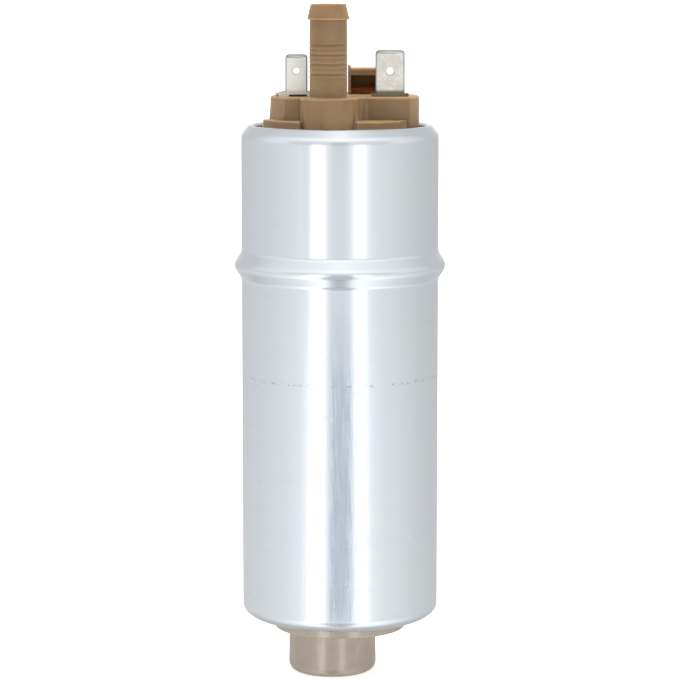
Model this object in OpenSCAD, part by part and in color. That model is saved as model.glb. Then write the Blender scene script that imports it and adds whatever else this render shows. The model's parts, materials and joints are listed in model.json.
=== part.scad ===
// Electric in-tank fuel pump with an internal gear pumping section, in millimetres
// The can's axis is Z, the foot of the inlet neck lies at Z = 0 and the terminals face -Y

/* [Can] */
// Outside diameter of the can
can_d = 43; // [42.4:0.2:45]
// Thickness of the can's sheet
can_wall = 1.2; // [1.0:0.1:1.3]
// Outside radius of the rolled edge at the can's bottom
can_roll_r = 2.8; // [2.2:0.1:3.2]
// Height of the locating bead's middle above the can's bottom face
bead_height = 78.2; // [40:0.2:90]
// How far the bead stands out of the can
bead_rise = 1.5; // [1.2:0.1:1.9]
// Outside radius of the bead's crest
bead_crest_r = 2.2; // [1.6:0.1:2.6]
// Outside radius where the bead runs into the can
bead_foot_r = 0.8; // [0.5:0.1:1.2]
// Angle of the bead's flanks from the can's wall
bead_angle = 33; // [26:1:38]
// Outside radius of the bend at the crimped top edge
crimp_bend_r = 1.8; // [1.5:0.1:2.2]
// Angle that the crimped edge leans inward
crimp_angle = 40; // [36:1:46]
// Straight length of the crimped edge
crimp_len = 1.6; // [1.2:0.1:2.0]

/* [Inlet cover] */
// Diameter of the inlet neck
neck_d = 19.2; // [18:0.2:20]
// Height of the inlet neck below its flange
neck_h = 10; // [8:0.5:14]
// Distance from the can's axis to the neck's axis, towards -X
neck_offset = 1.68; // [1.2:0.02:2.2]
// Radius of the rounding at the neck's foot
neck_round_r = 2; // [1:0.1:2.4]
// Diameter of the inlet bore
inlet_bore_d = 11; // [10:0.5:12]
// Diameter of the flange that stands through the can's mouth
inlet_flange_d = 29.1; // [28:0.1:31]
// How far that flange stands below the can
inlet_flange_proud = 2.4; // [2:0.1:3]
// Thickness of the inlet cover's disc inside the can
inlet_disc_h = 5.4; // [5.4:0.1:7]
// Diameter of the chamber above the inlet bore
inlet_chamber_d = 16.4; // [15:0.2:17]
// Height of the chamber above the inlet bore
inlet_chamber_h = 2.5; // [2:0.1:3]
// Thickness of the floor between that chamber and the gear set
inlet_web = 4.5; // [4:0.1:5]

/* [Gear set] */
// Teeth on the inner rotor, which has one fewer than the outer rotor has lobes
inner_teeth = 6; // [5:1:6]
// Radius of the circle through the centres of the outer rotor's lobes
lobe_circle_r = 10.2; // [10:0.1:10.5]
// Radius of the outer rotor's lobes
lobe_r = 2.8; // [2.5:0.1:3]
// Distance between the axes of the two rotors
rotor_offset = 1.0; // [0.85:0.05:1.05]
// Diameter of the outer rotor
outer_rotor_d = 25; // [24.4:0.2:27]
// Height of both rotors
rotor_h = 6.5; // [5:0.5:8]
// Thickness of the drive flats' part of the shaft
drive_flat_w = 3.2; // [2.8:0.1:3.5]
// Sweep of the two kidney ports, in degrees
port_sweep = 130; // [110:5:140]
// Width of the kidney ports
port_w = 2.6; // [2:0.1:2.8]
// Height of the port plate
port_plate_h = 7.4; // [6.5:0.1:9]
// Diameter of the dowels that line the pumping section up
dowel_d = 2.5; // [2:0.1:3]
// Length of those dowels
dowel_h = 12; // [10.5:0.5:14]

/* [Motor] */
// Diameter of the shaft
shaft_d = 4; // [3.6:0.1:4.4]
// Outside diameter of both bushings
bushing_d = 7.2; // [6.8:0.1:7.6]
// Height of both bushings
bushing_h = 8; // [7:0.5:9]
// Height of the port plate's collar round the lower bushing
lower_collar_h = 3; // [2:0.5:4]
// Thickness of both thrust washers
washer_h = 0.8; // [0.6:0.1:1.2]
// Diameter of both thrust washers
washer_d = 6.6; // [6:0.1:7]
// Length of the spacer between the lower thrust washer and the core
spacer_h = 7.2; // [6:0.1:9]
// Diameter of the spacer
spacer_d = 6.4; // [6:0.1:7]
// Thickness of the flux tube
flux_wall = 1.8; // [1.4:0.1:2.2]
// Sweep of each magnet, in degrees
magnet_sweep = 128; // [120:2:136]
// How far the magnets reach past each end of the core
magnet_over = 3; // [1:0.5:4]
// Thickness of the magnet clips' strip
clip_t = 0.8; // [0.6:0.1:1]
// Diameter of the armature's laminated core
core_d = 25.6; // [25:0.1:26.6]
// Length of that core
core_h = 44; // [36:1:50]
// Gap between the core and the magnets
air_gap = 0.6; // [0.4:0.1:0.8]
// Teeth on the core, and segments on the commutator
core_teeth = 8; // [6:1:9]
// Width of each tooth's stem
tooth_w = 3.4; // [3:0.1:3.8]
// Radial thickness of the teeth's shoes
shoe_h = 1.5; // [1.2:0.1:1.8]
// Width of the gaps between the shoes
slot_gap = 1.8; // [1.5:0.1:2.4]
// Radius of the core's hub between the slots
core_hub_r = 6.2; // [5.8:0.1:6.6]
// Thickness of the insulators on the core's ends
insulator_h = 1; // [0.8:0.1:1.4]
// Height of the winding's ends past the insulators
winding_end_h = 3.4; // [3:0.1:4]

/* [Commutator and brushes] */
// Diameter of the commutator
commutator_d = 20.6; // [20.2:0.2:21.4]
// Height of the commutator's hub
commutator_hub_h = 4.4; // [3.6:0.2:6]
// Thickness of the commutator's segments
segment_h = 1.6; // [1.2:0.1:2]
// Width of the slits between the segments
segment_slit = 0.7; // [0.5:0.1:1]
// Distance from the shaft's axis to each brush's middle
brush_reach = 7.4; // [7.2:0.1:7.6]
// Size of each brush across the commutator's radius
brush_l = 5.4; // [5:0.1:5.6]
// Size of each brush along the commutator's rim
brush_w = 4.5; // [4.2:0.1:5]
// Height of each brush
brush_h = 9; // [7:0.5:10]
// Height of the brush springs as fitted
brush_spring_h = 8.5; // [7:0.5:9]
// Turns of the brush springs
brush_spring_turns = 6; // [4:1:7]
// Wire diameter of the brush springs
brush_wire_d = 0.45; // [0.3:0.05:0.6]
// Wall of the brush guides
guide_wall = 0.8; // [0.7:0.1:0.9]
// Length of the choke cores
choke_h = 12; // [11:0.5:14]
// Diameter of the choke cores
choke_core_d = 3; // [2.6:0.1:3.2]
// Wire diameter of the choke coils
choke_wire_d = 0.8; // [0.6:0.05:0.9]
// Turns of the choke coils
choke_turns = 7; // [5:1:8]
// Distance from the can's axis to each choke along X
choke_x = 12.4; // [12.2:0.1:12.6]
// Distance from the can's axis to each choke along Y
choke_y = 6.4; // [6.2:0.1:6.6]

/* [Outlet cover] */
// Height of the cover's flange that seats on the flux tube
cover_flange_h = 10.6; // [10:0.1:12]
// Diameter of the ledge above the flange
ledge_d = 34.2; // [33.4:0.2:34.6]
// Height of the ledge above the flange
ledge_h = 3; // [2.4:0.1:4]
// Radius of the cover's wall on the narrow terminal's side
narrow_side_r = 15.6; // [15.2:0.1:16.4]
// Radius of the cover's wall on the wide terminal's side
wide_side_r = 17.2; // [16.8:0.1:17.4]
// How far the wall on the narrow terminal's side leans in
side_draft = 0.6; // [0.3:0.1:1]
// Height of the cover's plateau above the flange
plateau_h = 7.9; // [7:0.1:10]
// Radius of the plateau's rounded top edge
plateau_round_r = 1; // [0.5:0.1:1.4]
// Distance from the can's axis to the front wall on the narrow terminal's side
narrow_front_y = 9.2; // [8.8:0.1:9.6]
// Distance from the can's axis to the front wall on the wide terminal's side
wide_front_y = 8.2; // [8:0.1:8.6]
// Place of the ledge's cut end along X
ledge_end_x = 14.4; // [14:0.1:14.8]
// Size of the chamfer on the ledge's cut end
ledge_chamfer = 1.6; // [1:0.1:2]
// Radius of the boss under the nozzle
boss_r = 6.1; // [5.8:0.1:6.4]
// Radius of the hollow between the boss and the front wall
boss_fillet_r = 2.5; // [2:0.1:3]
// Width of the vent hood
hood_w = 9.8; // [9:0.1:10.6]
// Depth of the vent hood
hood_depth = 6.8; // [6:0.1:7.2]
// Height of the vent hood above the plateau
hood_h = 5.7; // [5.4:0.1:7]
// Wall of the vent hood
hood_wall = 0.8; // [0.6:0.1:1]
// Place of the vent hood's left side along X
hood_x = 1.76; // [1.6:0.02:2.2]
// Distance from the can's axis to the vent hood's mouth
hood_y = 5.4; // [5:0.1:5.8]
// How far the hood's left wall stands above its roof
hood_post_rise = 0.7; // [0.3:0.1:1.2]
// Section of the seals' cord
seal_cord_d = 1.75; // [1.6:0.05:1.9]

/* [Outlet nozzle] */
// Distance from the can's axis to the nozzle's axis, towards -X
nozzle_x = 2.48; // [2.2:0.02:2.8]
// Distance from the can's axis to the nozzle's axis, towards -Y
nozzle_y = 10; // [9.6:0.1:10.2]
// Diameter of the nozzle
nozzle_d = 8.05; // [7.8:0.05:8.6]
// Height of the nozzle above the plateau
nozzle_h = 20; // [16:0.5:30]
// Diameter of the outlet bore
outlet_bore_d = 5.5; // [5:0.1:5.8]
// Diameter of the barb at the nozzle's tip
barb_d = 9.15; // [8.8:0.05:9.6]
// Length of the barb
barb_h = 3.3; // [2.6:0.1:4]
// Diameter of the nozzle's end face
tip_d = 7.6; // [7:0.1:7.8]
// Number of the nozzle's small ribs
rib_count = 4; // [2:1:6]
// Distance from one small rib to the next
rib_pitch = 2.07; // [1.6:0.01:2.3]
// Height of the lowest small rib above the plateau
rib_start = 5.4; // [4:0.1:6]
// How far the small ribs stand out
rib_rise = 0.12; // [0.08:0.01:0.2]

/* [Terminals] */
// Width of the wide blade
wide_blade_w = 6.3; // [6.2:0.05:6.4]
// Width of the narrow blade
narrow_blade_w = 4.8; // [4.7:0.05:4.9]
// Thickness of both blades
blade_t = 0.8; // [0.7:0.05:0.9]
// Height of the wide blade above the plateau
wide_blade_h = 10; // [8:0.5:12]
// Height of the narrow blade above the plateau
narrow_blade_h = 9.1; // [8:0.1:11]
// Place of the wide blade's middle along X
wide_blade_x = 10.8; // [10.6:0.05:11]
// Place of the narrow blade's middle along X, towards -X
narrow_blade_x = 9.4; // [9.2:0.05:9.6]
// Distance from the can's axis to both blades' middle, towards -Y
blade_y = 4; // [3.7:0.1:4.3]
// Diameter of the wide blade's detent hole
wide_hole_d = 1.6; // [1.4:0.1:1.8]
// Diameter of the narrow blade's detent hole
narrow_hole_d = 1.4; // [1.2:0.1:1.6]
// Height of both detent holes above the plateau
blade_hole_h = 5.5; // [5:0.1:6]
// Length of the blades' chamfered tips
blade_tip_h = 1.2; // [0.8:0.1:1.5]
// Width of the blades' tails inside the cover
tail_w = 2.4; // [2:0.1:2.6]

/* [Valves] */
// Diameter of the check valve's chamber
check_chamber_d = 8; // [7.8:0.1:8.2]
// Height of the check valve's seat ring
check_seat_h = 4; // [3.5:0.1:5]
// Diameter of the hole through the check valve's seat
check_seat_hole_d = 4.4; // [4:0.1:4.6]
// Diameter of the check valve's head
check_head_d = 6.2; // [5.8:0.1:6.6]
// Height of the guide fins on the check valve
check_fin_h = 4; // [3:0.5:5]
// Turns of the check valve's spring
check_spring_turns = 5; // [3:1:6]
// Diameter of the relief valve's ball
relief_ball_d = 4; // [3.6:0.1:4.4]
// Diameter of the relief valve's chamber
relief_chamber_d = 5.2; // [5:0.1:5.4]
// Diameter of the hole under the relief valve's ball
relief_hole_d = 2.4; // [2:0.1:2.8]
// Height of the relief valve's seat above the flange's foot
relief_seat_h = 5; // [4:0.5:6]
// Height of the relief valve's plug
relief_plug_h = 3; // [2:0.5:3.5]
// Turns of the relief valve's spring
relief_spring_turns = 5; // [4:1:6]
// Place of the relief valve's axis along X
relief_x = 6.8; // [6.6:0.1:7]
// Distance from the can's axis to the relief valve's axis along Y
relief_y = 9.2; // [8.8:0.1:9.4]

/* [Fits] */
// Gap between pieces that are pressed or clamped together
seat_gap = 0.03; // [0.02:0.01:0.05]
// Radial gap between the can and what stands inside it
can_gap = 0.1; // [0.06:0.01:0.15]
// Radial gap of the shaft in its bushings
shaft_gap = 0.03; // [0.02:0.01:0.05]
// Radial gap of the outer rotor in its ring
rotor_gap = 0.06; // [0.04:0.01:0.1]
// Gap between the rotors' teeth and lobes
tooth_gap = 0.06; // [0.05:0.01:0.1]
// Gap at each end of the rotors
end_gap = 0.03; // [0.02:0.01:0.05]
// Gap round the brushes in their guides
brush_gap = 0.06; // [0.05:0.01:0.1]
// Axial play of the armature at each thrust washer
thrust_gap = 0.1; // [0.05:0.01:0.2]

/* [Hidden] */

$fn = 96;
arc_steps = 8;
eps = 0.01;

can_r = can_d / 2;
can_in_r = can_r - can_wall;
insert_r = can_in_r - can_gap;
neck_r = neck_d / 2;
flange_r = inlet_flange_d / 2;
shaft_r = shaft_d / 2;
bushing_r = bushing_d / 2;
outer_rotor_r = outer_rotor_d / 2;

// Heights of the stack, from the neck's foot up to the nozzle's tip
can_z = neck_h + inlet_flange_proud;
inlet_seat_z = can_z + can_wall;
gear_z = inlet_seat_z + inlet_disc_h;
port_z = gear_z + rotor_h + 2 * end_gap;
motor_z = port_z + port_plate_h;
lower_bushing_top_z = motor_z + lower_collar_h;
lower_washer_z = lower_bushing_top_z + thrust_gap;
spacer_z = lower_washer_z + washer_h;
lower_insulator_z = spacer_z + spacer_h;
core_z = lower_insulator_z + insulator_h;
core_top_z = core_z + core_h;
winding_top_z = core_top_z + insulator_h + winding_end_h;
winding_room = 0.6;
commutator_z = winding_top_z + winding_room;
segment_z = commutator_z + commutator_hub_h;
brush_face_z = segment_z + segment_h;
commutator_collar_h = 1.5;
upper_washer_z = brush_face_z + commutator_collar_h;
upper_bushing_z = upper_washer_z + washer_h + thrust_gap;
hub_drop = 5.5;
cover_z = upper_bushing_z + hub_drop;
crimp_z = cover_z + cover_flange_h;
flange_rise = 1;
flange_top_z = crimp_z + flange_rise;
ledge_z = flange_top_z + ledge_h;
plateau_z = flange_top_z + plateau_h;
tip_z = plateau_z + nozzle_h;

// Can: mouth, bead and crimped edge
mouth_gap = 0.25;
can_mouth_r = flange_r + mouth_gap;
bead_z = can_z + bead_height;
bead_blend_r = bead_foot_r + bead_crest_r;
bead_line_rise = bead_rise - bead_blend_r * (1 - cos(bead_angle));
bead_half = bead_blend_r * sin(bead_angle) + bead_line_rise / tan(bead_angle);
crimp_centre_r = can_r - crimp_bend_r;
crimp_end_r = crimp_centre_r + crimp_bend_r * cos(crimp_angle) - crimp_len * sin(crimp_angle);
crimp_end_z = crimp_z + crimp_bend_r * sin(crimp_angle) + crimp_len * cos(crimp_angle);
crimp_in_r = crimp_centre_r + (crimp_bend_r - can_wall) * cos(crimp_angle);
crimp_in_z = crimp_z + (crimp_bend_r - can_wall) * sin(crimp_angle);

// Seals and their grooves
seal_r = can_in_r - seal_cord_d / 2 - seat_gap;
groove_r = seal_r - seal_cord_d / 2 - seat_gap;
groove_h = seal_cord_d + 0.3;
inlet_seal_z = gear_z - 1 - groove_h / 2;
cover_seal_z = cover_z + 2 + groove_h / 2;

// Gear set
outer_lobes = inner_teeth + 1;
rotor_tip_r = lobe_circle_r - lobe_r + rotor_offset;
rotor_cavity_r = rotor_tip_r + rotor_offset + tooth_gap;
tooth_steps = 48;
port_r = (rotor_tip_r + lobe_circle_r - lobe_r - rotor_offset) / 2;
shaft_tail = 2;
dowel_r = (outer_rotor_r + rotor_offset + groove_r) / 2;

// Motor
flux_out_r = insert_r;
flux_in_r = flux_out_r - flux_wall;
spigot_r = flux_in_r - seat_gap;
spigot_h = 1.2;
spigot_wall = 1.2;
core_r = core_d / 2;
magnet_out_r = flux_in_r - seat_gap;
magnet_in_r = core_r + air_gap;
magnet_h = core_h + 2 * magnet_over;
magnet_z = core_z - magnet_over;
slot_pitch = 360 / core_teeth;
slot_out_r = core_r - shoe_h;
upper_bushing_top_z = upper_bushing_z + bushing_h;

// Brushes and chokes
brush_z = brush_face_z + brush_gap;
brush_top_z = brush_z + brush_h;
pocket_top_z = brush_top_z + brush_spring_h;
guide_z = brush_face_z + 2.5;
brush_spring_r = brush_w / 2 - brush_wire_d / 2 - 0.2;
choke_top_z = cover_z + 8;
choke_z = choke_top_z - choke_h;
coil_gap = 0.12;
choke_coil_r = (choke_core_d + choke_wire_d) / 2 + coil_gap;
choke_pocket_r = choke_coil_r + choke_wire_d / 2 + 0.3;
coil_margin = 0.7;
coil_low_z = choke_z + coil_margin;
coil_top_z = choke_top_z - 1.2;
tail_z = coil_top_z + choke_wire_d / 2 + 0.1;

// Outlet cover
boss_x = -nozzle_x;
boss_y = -nozzle_y;
nozzle_r = nozzle_d / 2;
outlet_bore_r = outlet_bore_d / 2;
check_chamber_r = check_chamber_d / 2;
check_chamber_top_z = plateau_z - 1.5;
hub_r = bushing_r + 1.3;
foot_h = 0.7;
foot_gap = 0.35;

// Valves
check_seat_z = cover_z + 0.5;
check_seat_top_z = check_seat_z + check_seat_h;
check_cone_h = (check_head_d - check_seat_hole_d) / 2;
check_gap = 0.03;
check_wire_d = 0.5;
check_spring_r = check_chamber_r - check_wire_d / 2 - 0.5;
relief_seat_z = cover_z + relief_seat_h;
relief_ball_r = relief_ball_d / 2;
relief_chamber_r = relief_chamber_d / 2;
relief_ball_z = relief_seat_z + relief_ball_r * sqrt(2) - relief_hole_d / 2 + check_gap;
relief_plug_z = plateau_z - 0.4 - relief_plug_h;
relief_wire_d = 0.4;
relief_spring_r = relief_chamber_r - relief_wire_d / 2 - 0.4;

plastic = [0.60, 0.48, 0.34];
inlet_plastic = [0.62, 0.56, 0.50];
tin = [0.88, 0.88, 0.86];
copper = [0.75, 0.42, 0.25];

// Points of an arc round a centre, from one angle to another
function arc(cx, cy, r, from, to, steps = arc_steps) =
  [for (i = [0:steps]) let (a = from + (to - from) * i / steps) [cx + r * cos(a), cy + r * sin(a)]];

function reversed(points) = [for (i = [len(points) - 1:-1:0]) points[i]];

// The can's section at a depth under its outside skin, from the mouth up to the crimped edge
function can_skin(depth) = concat(
  [[can_mouth_r, can_z + depth]],
  arc(can_r - can_roll_r, can_z + can_roll_r, can_roll_r - depth, -90, 0),
  arc(can_r + bead_foot_r, bead_z - bead_half, bead_foot_r + depth, 180, 180 - bead_angle),
  arc(can_r + bead_rise - bead_crest_r, bead_z, bead_crest_r - depth, -bead_angle, bead_angle),
  arc(can_r + bead_foot_r, bead_z + bead_half, bead_foot_r + depth, 180 + bead_angle, 180),
  arc(crimp_centre_r, crimp_z, crimp_bend_r - depth, 0, crimp_angle));

// A closed tube swept along points, each ring square to the way the points run
function unit(v) = v / norm(v);
function tangent(points, i) = unit(points[min(i + 1, len(points) - 1)] - points[max(i - 1, 0)]);
function ring(p, t, up, r, sides) =
  let (u = unit(cross(up, t)), v = cross(t, u))
  [for (k = [0:sides - 1]) p + r * cos(360 * k / sides) * u + r * sin(360 * k / sides) * v];

module tube(points, r, up, sides = 6) {
  last = len(points) - 1;
  skin = [for (i = [0:last]) each ring(points[i], tangent(points, i), up, r, sides)];
  walls = [for (i = [0:last - 1], k = [0:sides - 1])
    let (a = i * sides + k, b = i * sides + (k + 1) % sides)
    each [[a, b, b + sides], [a, b + sides, a + sides]]];
  lids = [for (k = [1:sides - 2]) each [[0, k + 1, k],
    [last * sides, last * sides + k, last * sides + k + 1]]];
  polyhedron(skin, concat(walls, lids));
}

// Points of a coil that climbs from one height to another
function coil(r, from_z, to_z, turns, start = 0, steps = 12) =
  [for (i = [0:turns * steps]) let (a = start + 360 * i / steps, f = i / (turns * steps))
    [r * cos(a), r * sin(a), from_z + (to_z - from_z) * f]];

module spring(r, wire_d, from_z, to_z, turns) {
  tube(coil(r, from_z + wire_d / 2, to_z - wire_d / 2, turns), wire_d / 2, [0, 0, 1]);
}

module at_height(z) {
  translate([0, 0, z]) children();
}

module at_nozzle() {
  translate([boss_x, boss_y, 0]) children();
}

module at_relief() {
  translate([relief_x, relief_y, 0]) children();
}

module disc(r, from_z, to_z) {
  at_height(from_z) cylinder(r = r, h = to_z - from_z);
}

// A low ring that centres the flux tube
module spigot(from_z, to_z) {
  difference() {
    disc(spigot_r, from_z, to_z);
    disc(spigot_r - spigot_wall, from_z - 1, to_z + 1);
  }
}

// A round seal lying in its groove
module round_seal(z) {
  rotate_extrude() translate([seal_r, z]) circle(d = seal_cord_d, $fn = 32);
}

// A curved slot round the can's axis with round ends
module kidney(middle, from_z, to_z) {
  half = port_sweep / 2;
  end_x = port_r * cos(half);
  end_y = port_r * sin(half);
  at_height(from_z) linear_extrude(to_z - from_z) rotate(middle) polygon(concat(
    arc(0, 0, port_r + port_w / 2, -half, half, 24),
    arc(end_x, end_y, port_w / 2, half + 20, half + 160),
    arc(0, 0, port_r - port_w / 2, half, -half, 24),
    arc(end_x, -end_y, port_w / 2, 200 - half, 340 - half)));
}

module dowel_holes(from_z, to_z) {
  for (side = [-1, 1])
    translate([0, side * dowel_r, from_z]) cylinder(d = dowel_d + 2 * seat_gap, h = to_z - from_z);
}

module can_shell() {
  color([0.80, 0.82, 0.85])
  rotate_extrude($fn = 180)
    polygon(concat(
      can_skin(0),
      arc(crimp_end_r - can_wall / 2 * cos(crimp_angle), crimp_end_z - can_wall / 2 * sin(crimp_angle),
        can_wall / 2, crimp_angle, crimp_angle + 180),
      reversed(can_skin(can_wall))));
}

module inlet_cover() {
  edge_r = can_roll_r - can_wall + can_gap;
  foot_round = min(neck_round_r, neck_r - inlet_bore_d / 2 - 0.6);
  color(inlet_plastic)
  difference() {
    union() {
      translate([-neck_offset, 0, 0]) rotate_extrude() polygon(concat(
        [[0, 0]],
        arc(neck_r - foot_round, foot_round, foot_round, -90, 0),
        [[neck_r, inlet_seat_z], [0, inlet_seat_z]]));
      rotate_extrude() polygon(concat(
        [[0, neck_h]],
        arc(flange_r - 0.5, neck_h + 0.5, 0.5, -90, 0, 4),
        [[flange_r, inlet_seat_z + seat_gap]],
        arc(insert_r - edge_r, inlet_seat_z + seat_gap + edge_r, edge_r, -90, 0),
        [[insert_r, inlet_seal_z - groove_h / 2], [groove_r, inlet_seal_z - groove_h / 2],
          [groove_r, inlet_seal_z + groove_h / 2], [insert_r, inlet_seal_z + groove_h / 2],
          [insert_r, gear_z], [0, gear_z]]));
    }
    translate([-neck_offset, 0, 0]) {
      disc(inlet_bore_d / 2, -1, gear_z - inlet_web - 0.5);
      disc(inlet_chamber_d / 2, gear_z - inlet_web - inlet_chamber_h, gear_z - inlet_web);
    }
    kidney(90, gear_z - inlet_web - 0.5, gear_z + 1);
    disc(shaft_r + 0.3, gear_z - shaft_tail - 0.5, gear_z + 1);
    dowel_holes(gear_z - (dowel_h - port_z + gear_z) / 2, gear_z + 1);
  }
}

module inlet_seal() {
  color([0.12, 0.12, 0.12]) round_seal(inlet_seal_z);
}

module cover_seal() {
  color([0.12, 0.12, 0.12]) round_seal(cover_seal_z);
}

module rotor_ring() {
  color([0.62, 0.62, 0.64])
  difference() {
    disc(insert_r, gear_z, port_z);
    translate([-rotor_offset, 0, 0]) disc(outer_rotor_r + rotor_gap, gear_z - 1, port_z + 1);
    dowel_holes(gear_z - 1, port_z + 1);
  }
}

module outer_rotor() {
  color([0.50, 0.49, 0.48])
  translate([-rotor_offset, 0, gear_z + end_gap])
    difference() {
      cylinder(r = outer_rotor_r, h = rotor_h);
      difference() {
        at_height(-1) cylinder(r = rotor_cavity_r, h = rotor_h + 2);
        for (i = [0:outer_lobes - 1])
          rotate(i * 360 / outer_lobes) translate([lobe_circle_r, 0, -2]) cylinder(r = lobe_r, h = rotor_h + 4);
      }
    }
}

// Edge of the inner rotor: the inner envelope of the outer rotor's lobes as both rotors turn
function rotor_point(a, r) =
  let (lean = atan2(sin(-inner_teeth * a),
    lobe_circle_r / (rotor_offset * outer_lobes) - cos(-inner_teeth * a)))
  [lobe_circle_r * cos(a) - r * cos(a + lean) - rotor_offset * cos(outer_lobes * a),
    -lobe_circle_r * sin(a) + r * sin(a + lean) + rotor_offset * sin(outer_lobes * a)];

module drive_section(r, flat_w) {
  intersection() {
    circle(r = r);
    square([2 * r + 1, flat_w], center = true);
  }
}

module inner_rotor() {
  steps = inner_teeth * tooth_steps;
  color([0.58, 0.57, 0.55])
  at_height(gear_z + end_gap) linear_extrude(rotor_h) difference() {
    polygon([for (i = [0:steps - 1]) rotor_point(-360 * i / steps, lobe_r + tooth_gap)]);
    drive_section(shaft_r + seat_gap, drive_flat_w + 2 * seat_gap);
  }
}

module port_plate() {
  color([0.66, 0.66, 0.68])
  difference() {
    union() {
      disc(insert_r, port_z, motor_z);
      spigot(motor_z - 1, motor_z + spigot_h);
      disc(hub_r, motor_z - 1, lower_bushing_top_z);
    }
    kidney(-90, port_z - 1, motor_z + 1);
    disc(bushing_r + seat_gap, lower_bushing_top_z - bushing_h, lower_bushing_top_z + 1);
    disc(shaft_r + 0.4, port_z - 1, lower_bushing_top_z);
    dowel_holes(port_z - 1, port_z + (dowel_h - port_z + gear_z) / 2);
  }
}

module pump_dowels() {
  color([0.75, 0.75, 0.77])
  for (side = [-1, 1])
    translate([0, side * dowel_r, (gear_z + port_z - dowel_h) / 2 + seat_gap])
      cylinder(d = dowel_d, h = dowel_h - 2 * seat_gap);
}

module bushing(z) {
  chamfer = 0.4;
  color([0.70, 0.52, 0.30])
  rotate_extrude() polygon([
    [shaft_r + shaft_gap, z], [bushing_r - chamfer, z], [bushing_r, z + chamfer],
    [bushing_r, z + bushing_h - chamfer], [bushing_r - chamfer, z + bushing_h],
    [shaft_r + shaft_gap, z + bushing_h]]);
}

module lower_bushing() {
  bushing(lower_bushing_top_z - bushing_h);
}

module upper_bushing() {
  bushing(upper_bushing_z);
}

module flux_tube() {
  color([0.45, 0.46, 0.48])
  difference() {
    disc(flux_out_r, motor_z, cover_z);
    disc(flux_in_r, motor_z - 1, cover_z + 1);
  }
}

module magnet(middle) {
  color([0.25, 0.25, 0.27])
  at_height(magnet_z) linear_extrude(magnet_h) polygon(concat(
    arc(0, 0, magnet_out_r, middle - magnet_sweep / 2, middle + magnet_sweep / 2, 32),
    arc(0, 0, magnet_in_r, middle + magnet_sweep / 2, middle - magnet_sweep / 2, 32)));
}

module magnet_left() {
  magnet(180);
}

module magnet_right() {
  magnet(0);
}

// Two sprung clips, each bent to a channel, that hold the magnets apart and against the flux tube
module magnet_clips() {
  leg_h = (magnet_out_r - magnet_in_r) * 0.7;
  half = 90 - magnet_sweep / 2 - 0.4;
  inset = 2;
  leg_r = magnet_out_r - leg_h;
  color([0.70, 0.71, 0.73])
  at_height(magnet_z + inset) for (middle = [90, -90])
    linear_extrude(magnet_h - 2 * inset) {
      polygon(concat(
        arc(0, 0, magnet_out_r, middle - half, middle + half, 16),
        arc(0, 0, magnet_out_r - clip_t, middle + half, middle - half, 16)));
      for (side = [-1, 1])
        rotate(middle + side * half) translate([leg_r, side < 0 ? 0 : -clip_t])
          square([leg_h - clip_t / 2, clip_t]);
    }
}

module shaft() {
  bottom = gear_z - shaft_tail;
  drive_top = port_z;
  top = upper_bushing_top_z - 0.2;
  chamfer = 0.4;
  color([0.78, 0.79, 0.80])
  union() {
    at_height(bottom) linear_extrude(drive_top - bottom + eps) drive_section(shaft_r, drive_flat_w);
    rotate_extrude() polygon([[0, drive_top], [shaft_r, drive_top], [shaft_r, top - chamfer],
      [shaft_r - chamfer, top], [0, top]]);
  }
}

module washer(z) {
  color([0.72, 0.55, 0.34])
  difference() {
    disc(washer_d / 2, z, z + washer_h);
    disc(shaft_r + shaft_gap, z - 1, z + washer_h + 1);
  }
}

module lower_thrust_washer() {
  washer(lower_washer_z);
}

module upper_thrust_washer() {
  washer(upper_washer_z);
}

module shaft_spacer() {
  color([0.30, 0.32, 0.30])
  difference() {
    disc(spacer_d / 2, spacer_z, lower_insulator_z);
    disc(shaft_r + shaft_gap, spacer_z - 1, lower_insulator_z + 1);
  }
}

// Half the width of a slot at a radius, with a gap between it and the stems on both sides
function slot_half(r, gap = 0) = r * tan(slot_pitch / 2) - (tooth_w / 2 + gap) / cos(slot_pitch / 2);

module slot_outline(gap = 0) {
  low = core_hub_r + gap;
  high = slot_out_r - gap;
  polygon([[low, -slot_half(low, gap)], [high, -slot_half(high, gap)],
    [high, slot_half(high, gap)], [low, slot_half(low, gap)]]);
}

// The core's section: a hub, stems and shoes
module core_section(r) {
  difference() {
    circle(r = r);
    circle(r = shaft_r + seat_gap);
    for (i = [0:core_teeth - 1]) rotate((i + 0.5) * slot_pitch) {
      slot_outline();
      translate([slot_out_r - 0.5, -slot_gap / 2]) square([shoe_h + 2, slot_gap]);
    }
  }
}

module armature_core() {
  color([0.48, 0.49, 0.52])
  at_height(core_z) linear_extrude(core_h) core_section(core_r);
}

module insulator(z) {
  color([0.30, 0.42, 0.36])
  at_height(z) linear_extrude(insulator_h) core_section(core_r - 0.4);
}

module lower_insulator() {
  insulator(lower_insulator_z);
}

module upper_insulator() {
  insulator(core_top_z);
}

// Coils that fill the slots, with ends that cross from slot to slot over the insulators
module armature_winding() {
  span = 2;
  wire_gap = 0.25;
  end_r = (core_hub_r + slot_out_r) / 2;
  half_angle = span * slot_pitch / 2;
  bundle = 2.2;
  color(copper)
  difference() {
    union() {
      for (i = [0:core_teeth - 1]) {
        rotate((i + 0.5) * slot_pitch)
          at_height(lower_insulator_z - winding_end_h)
            linear_extrude(winding_top_z - lower_insulator_z + winding_end_h) slot_outline(wire_gap);
        rotate(i * slot_pitch)
          for (z = [lower_insulator_z - winding_end_h, core_top_z + insulator_h])
            translate([end_r * cos(half_angle) - bundle / 2, -end_r * sin(half_angle), z])
              cube([bundle, 2 * end_r * sin(half_angle), winding_end_h]);
      }
    }
    disc(spacer_d / 2 + 0.3, 0, tip_z);
  }
}

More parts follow.
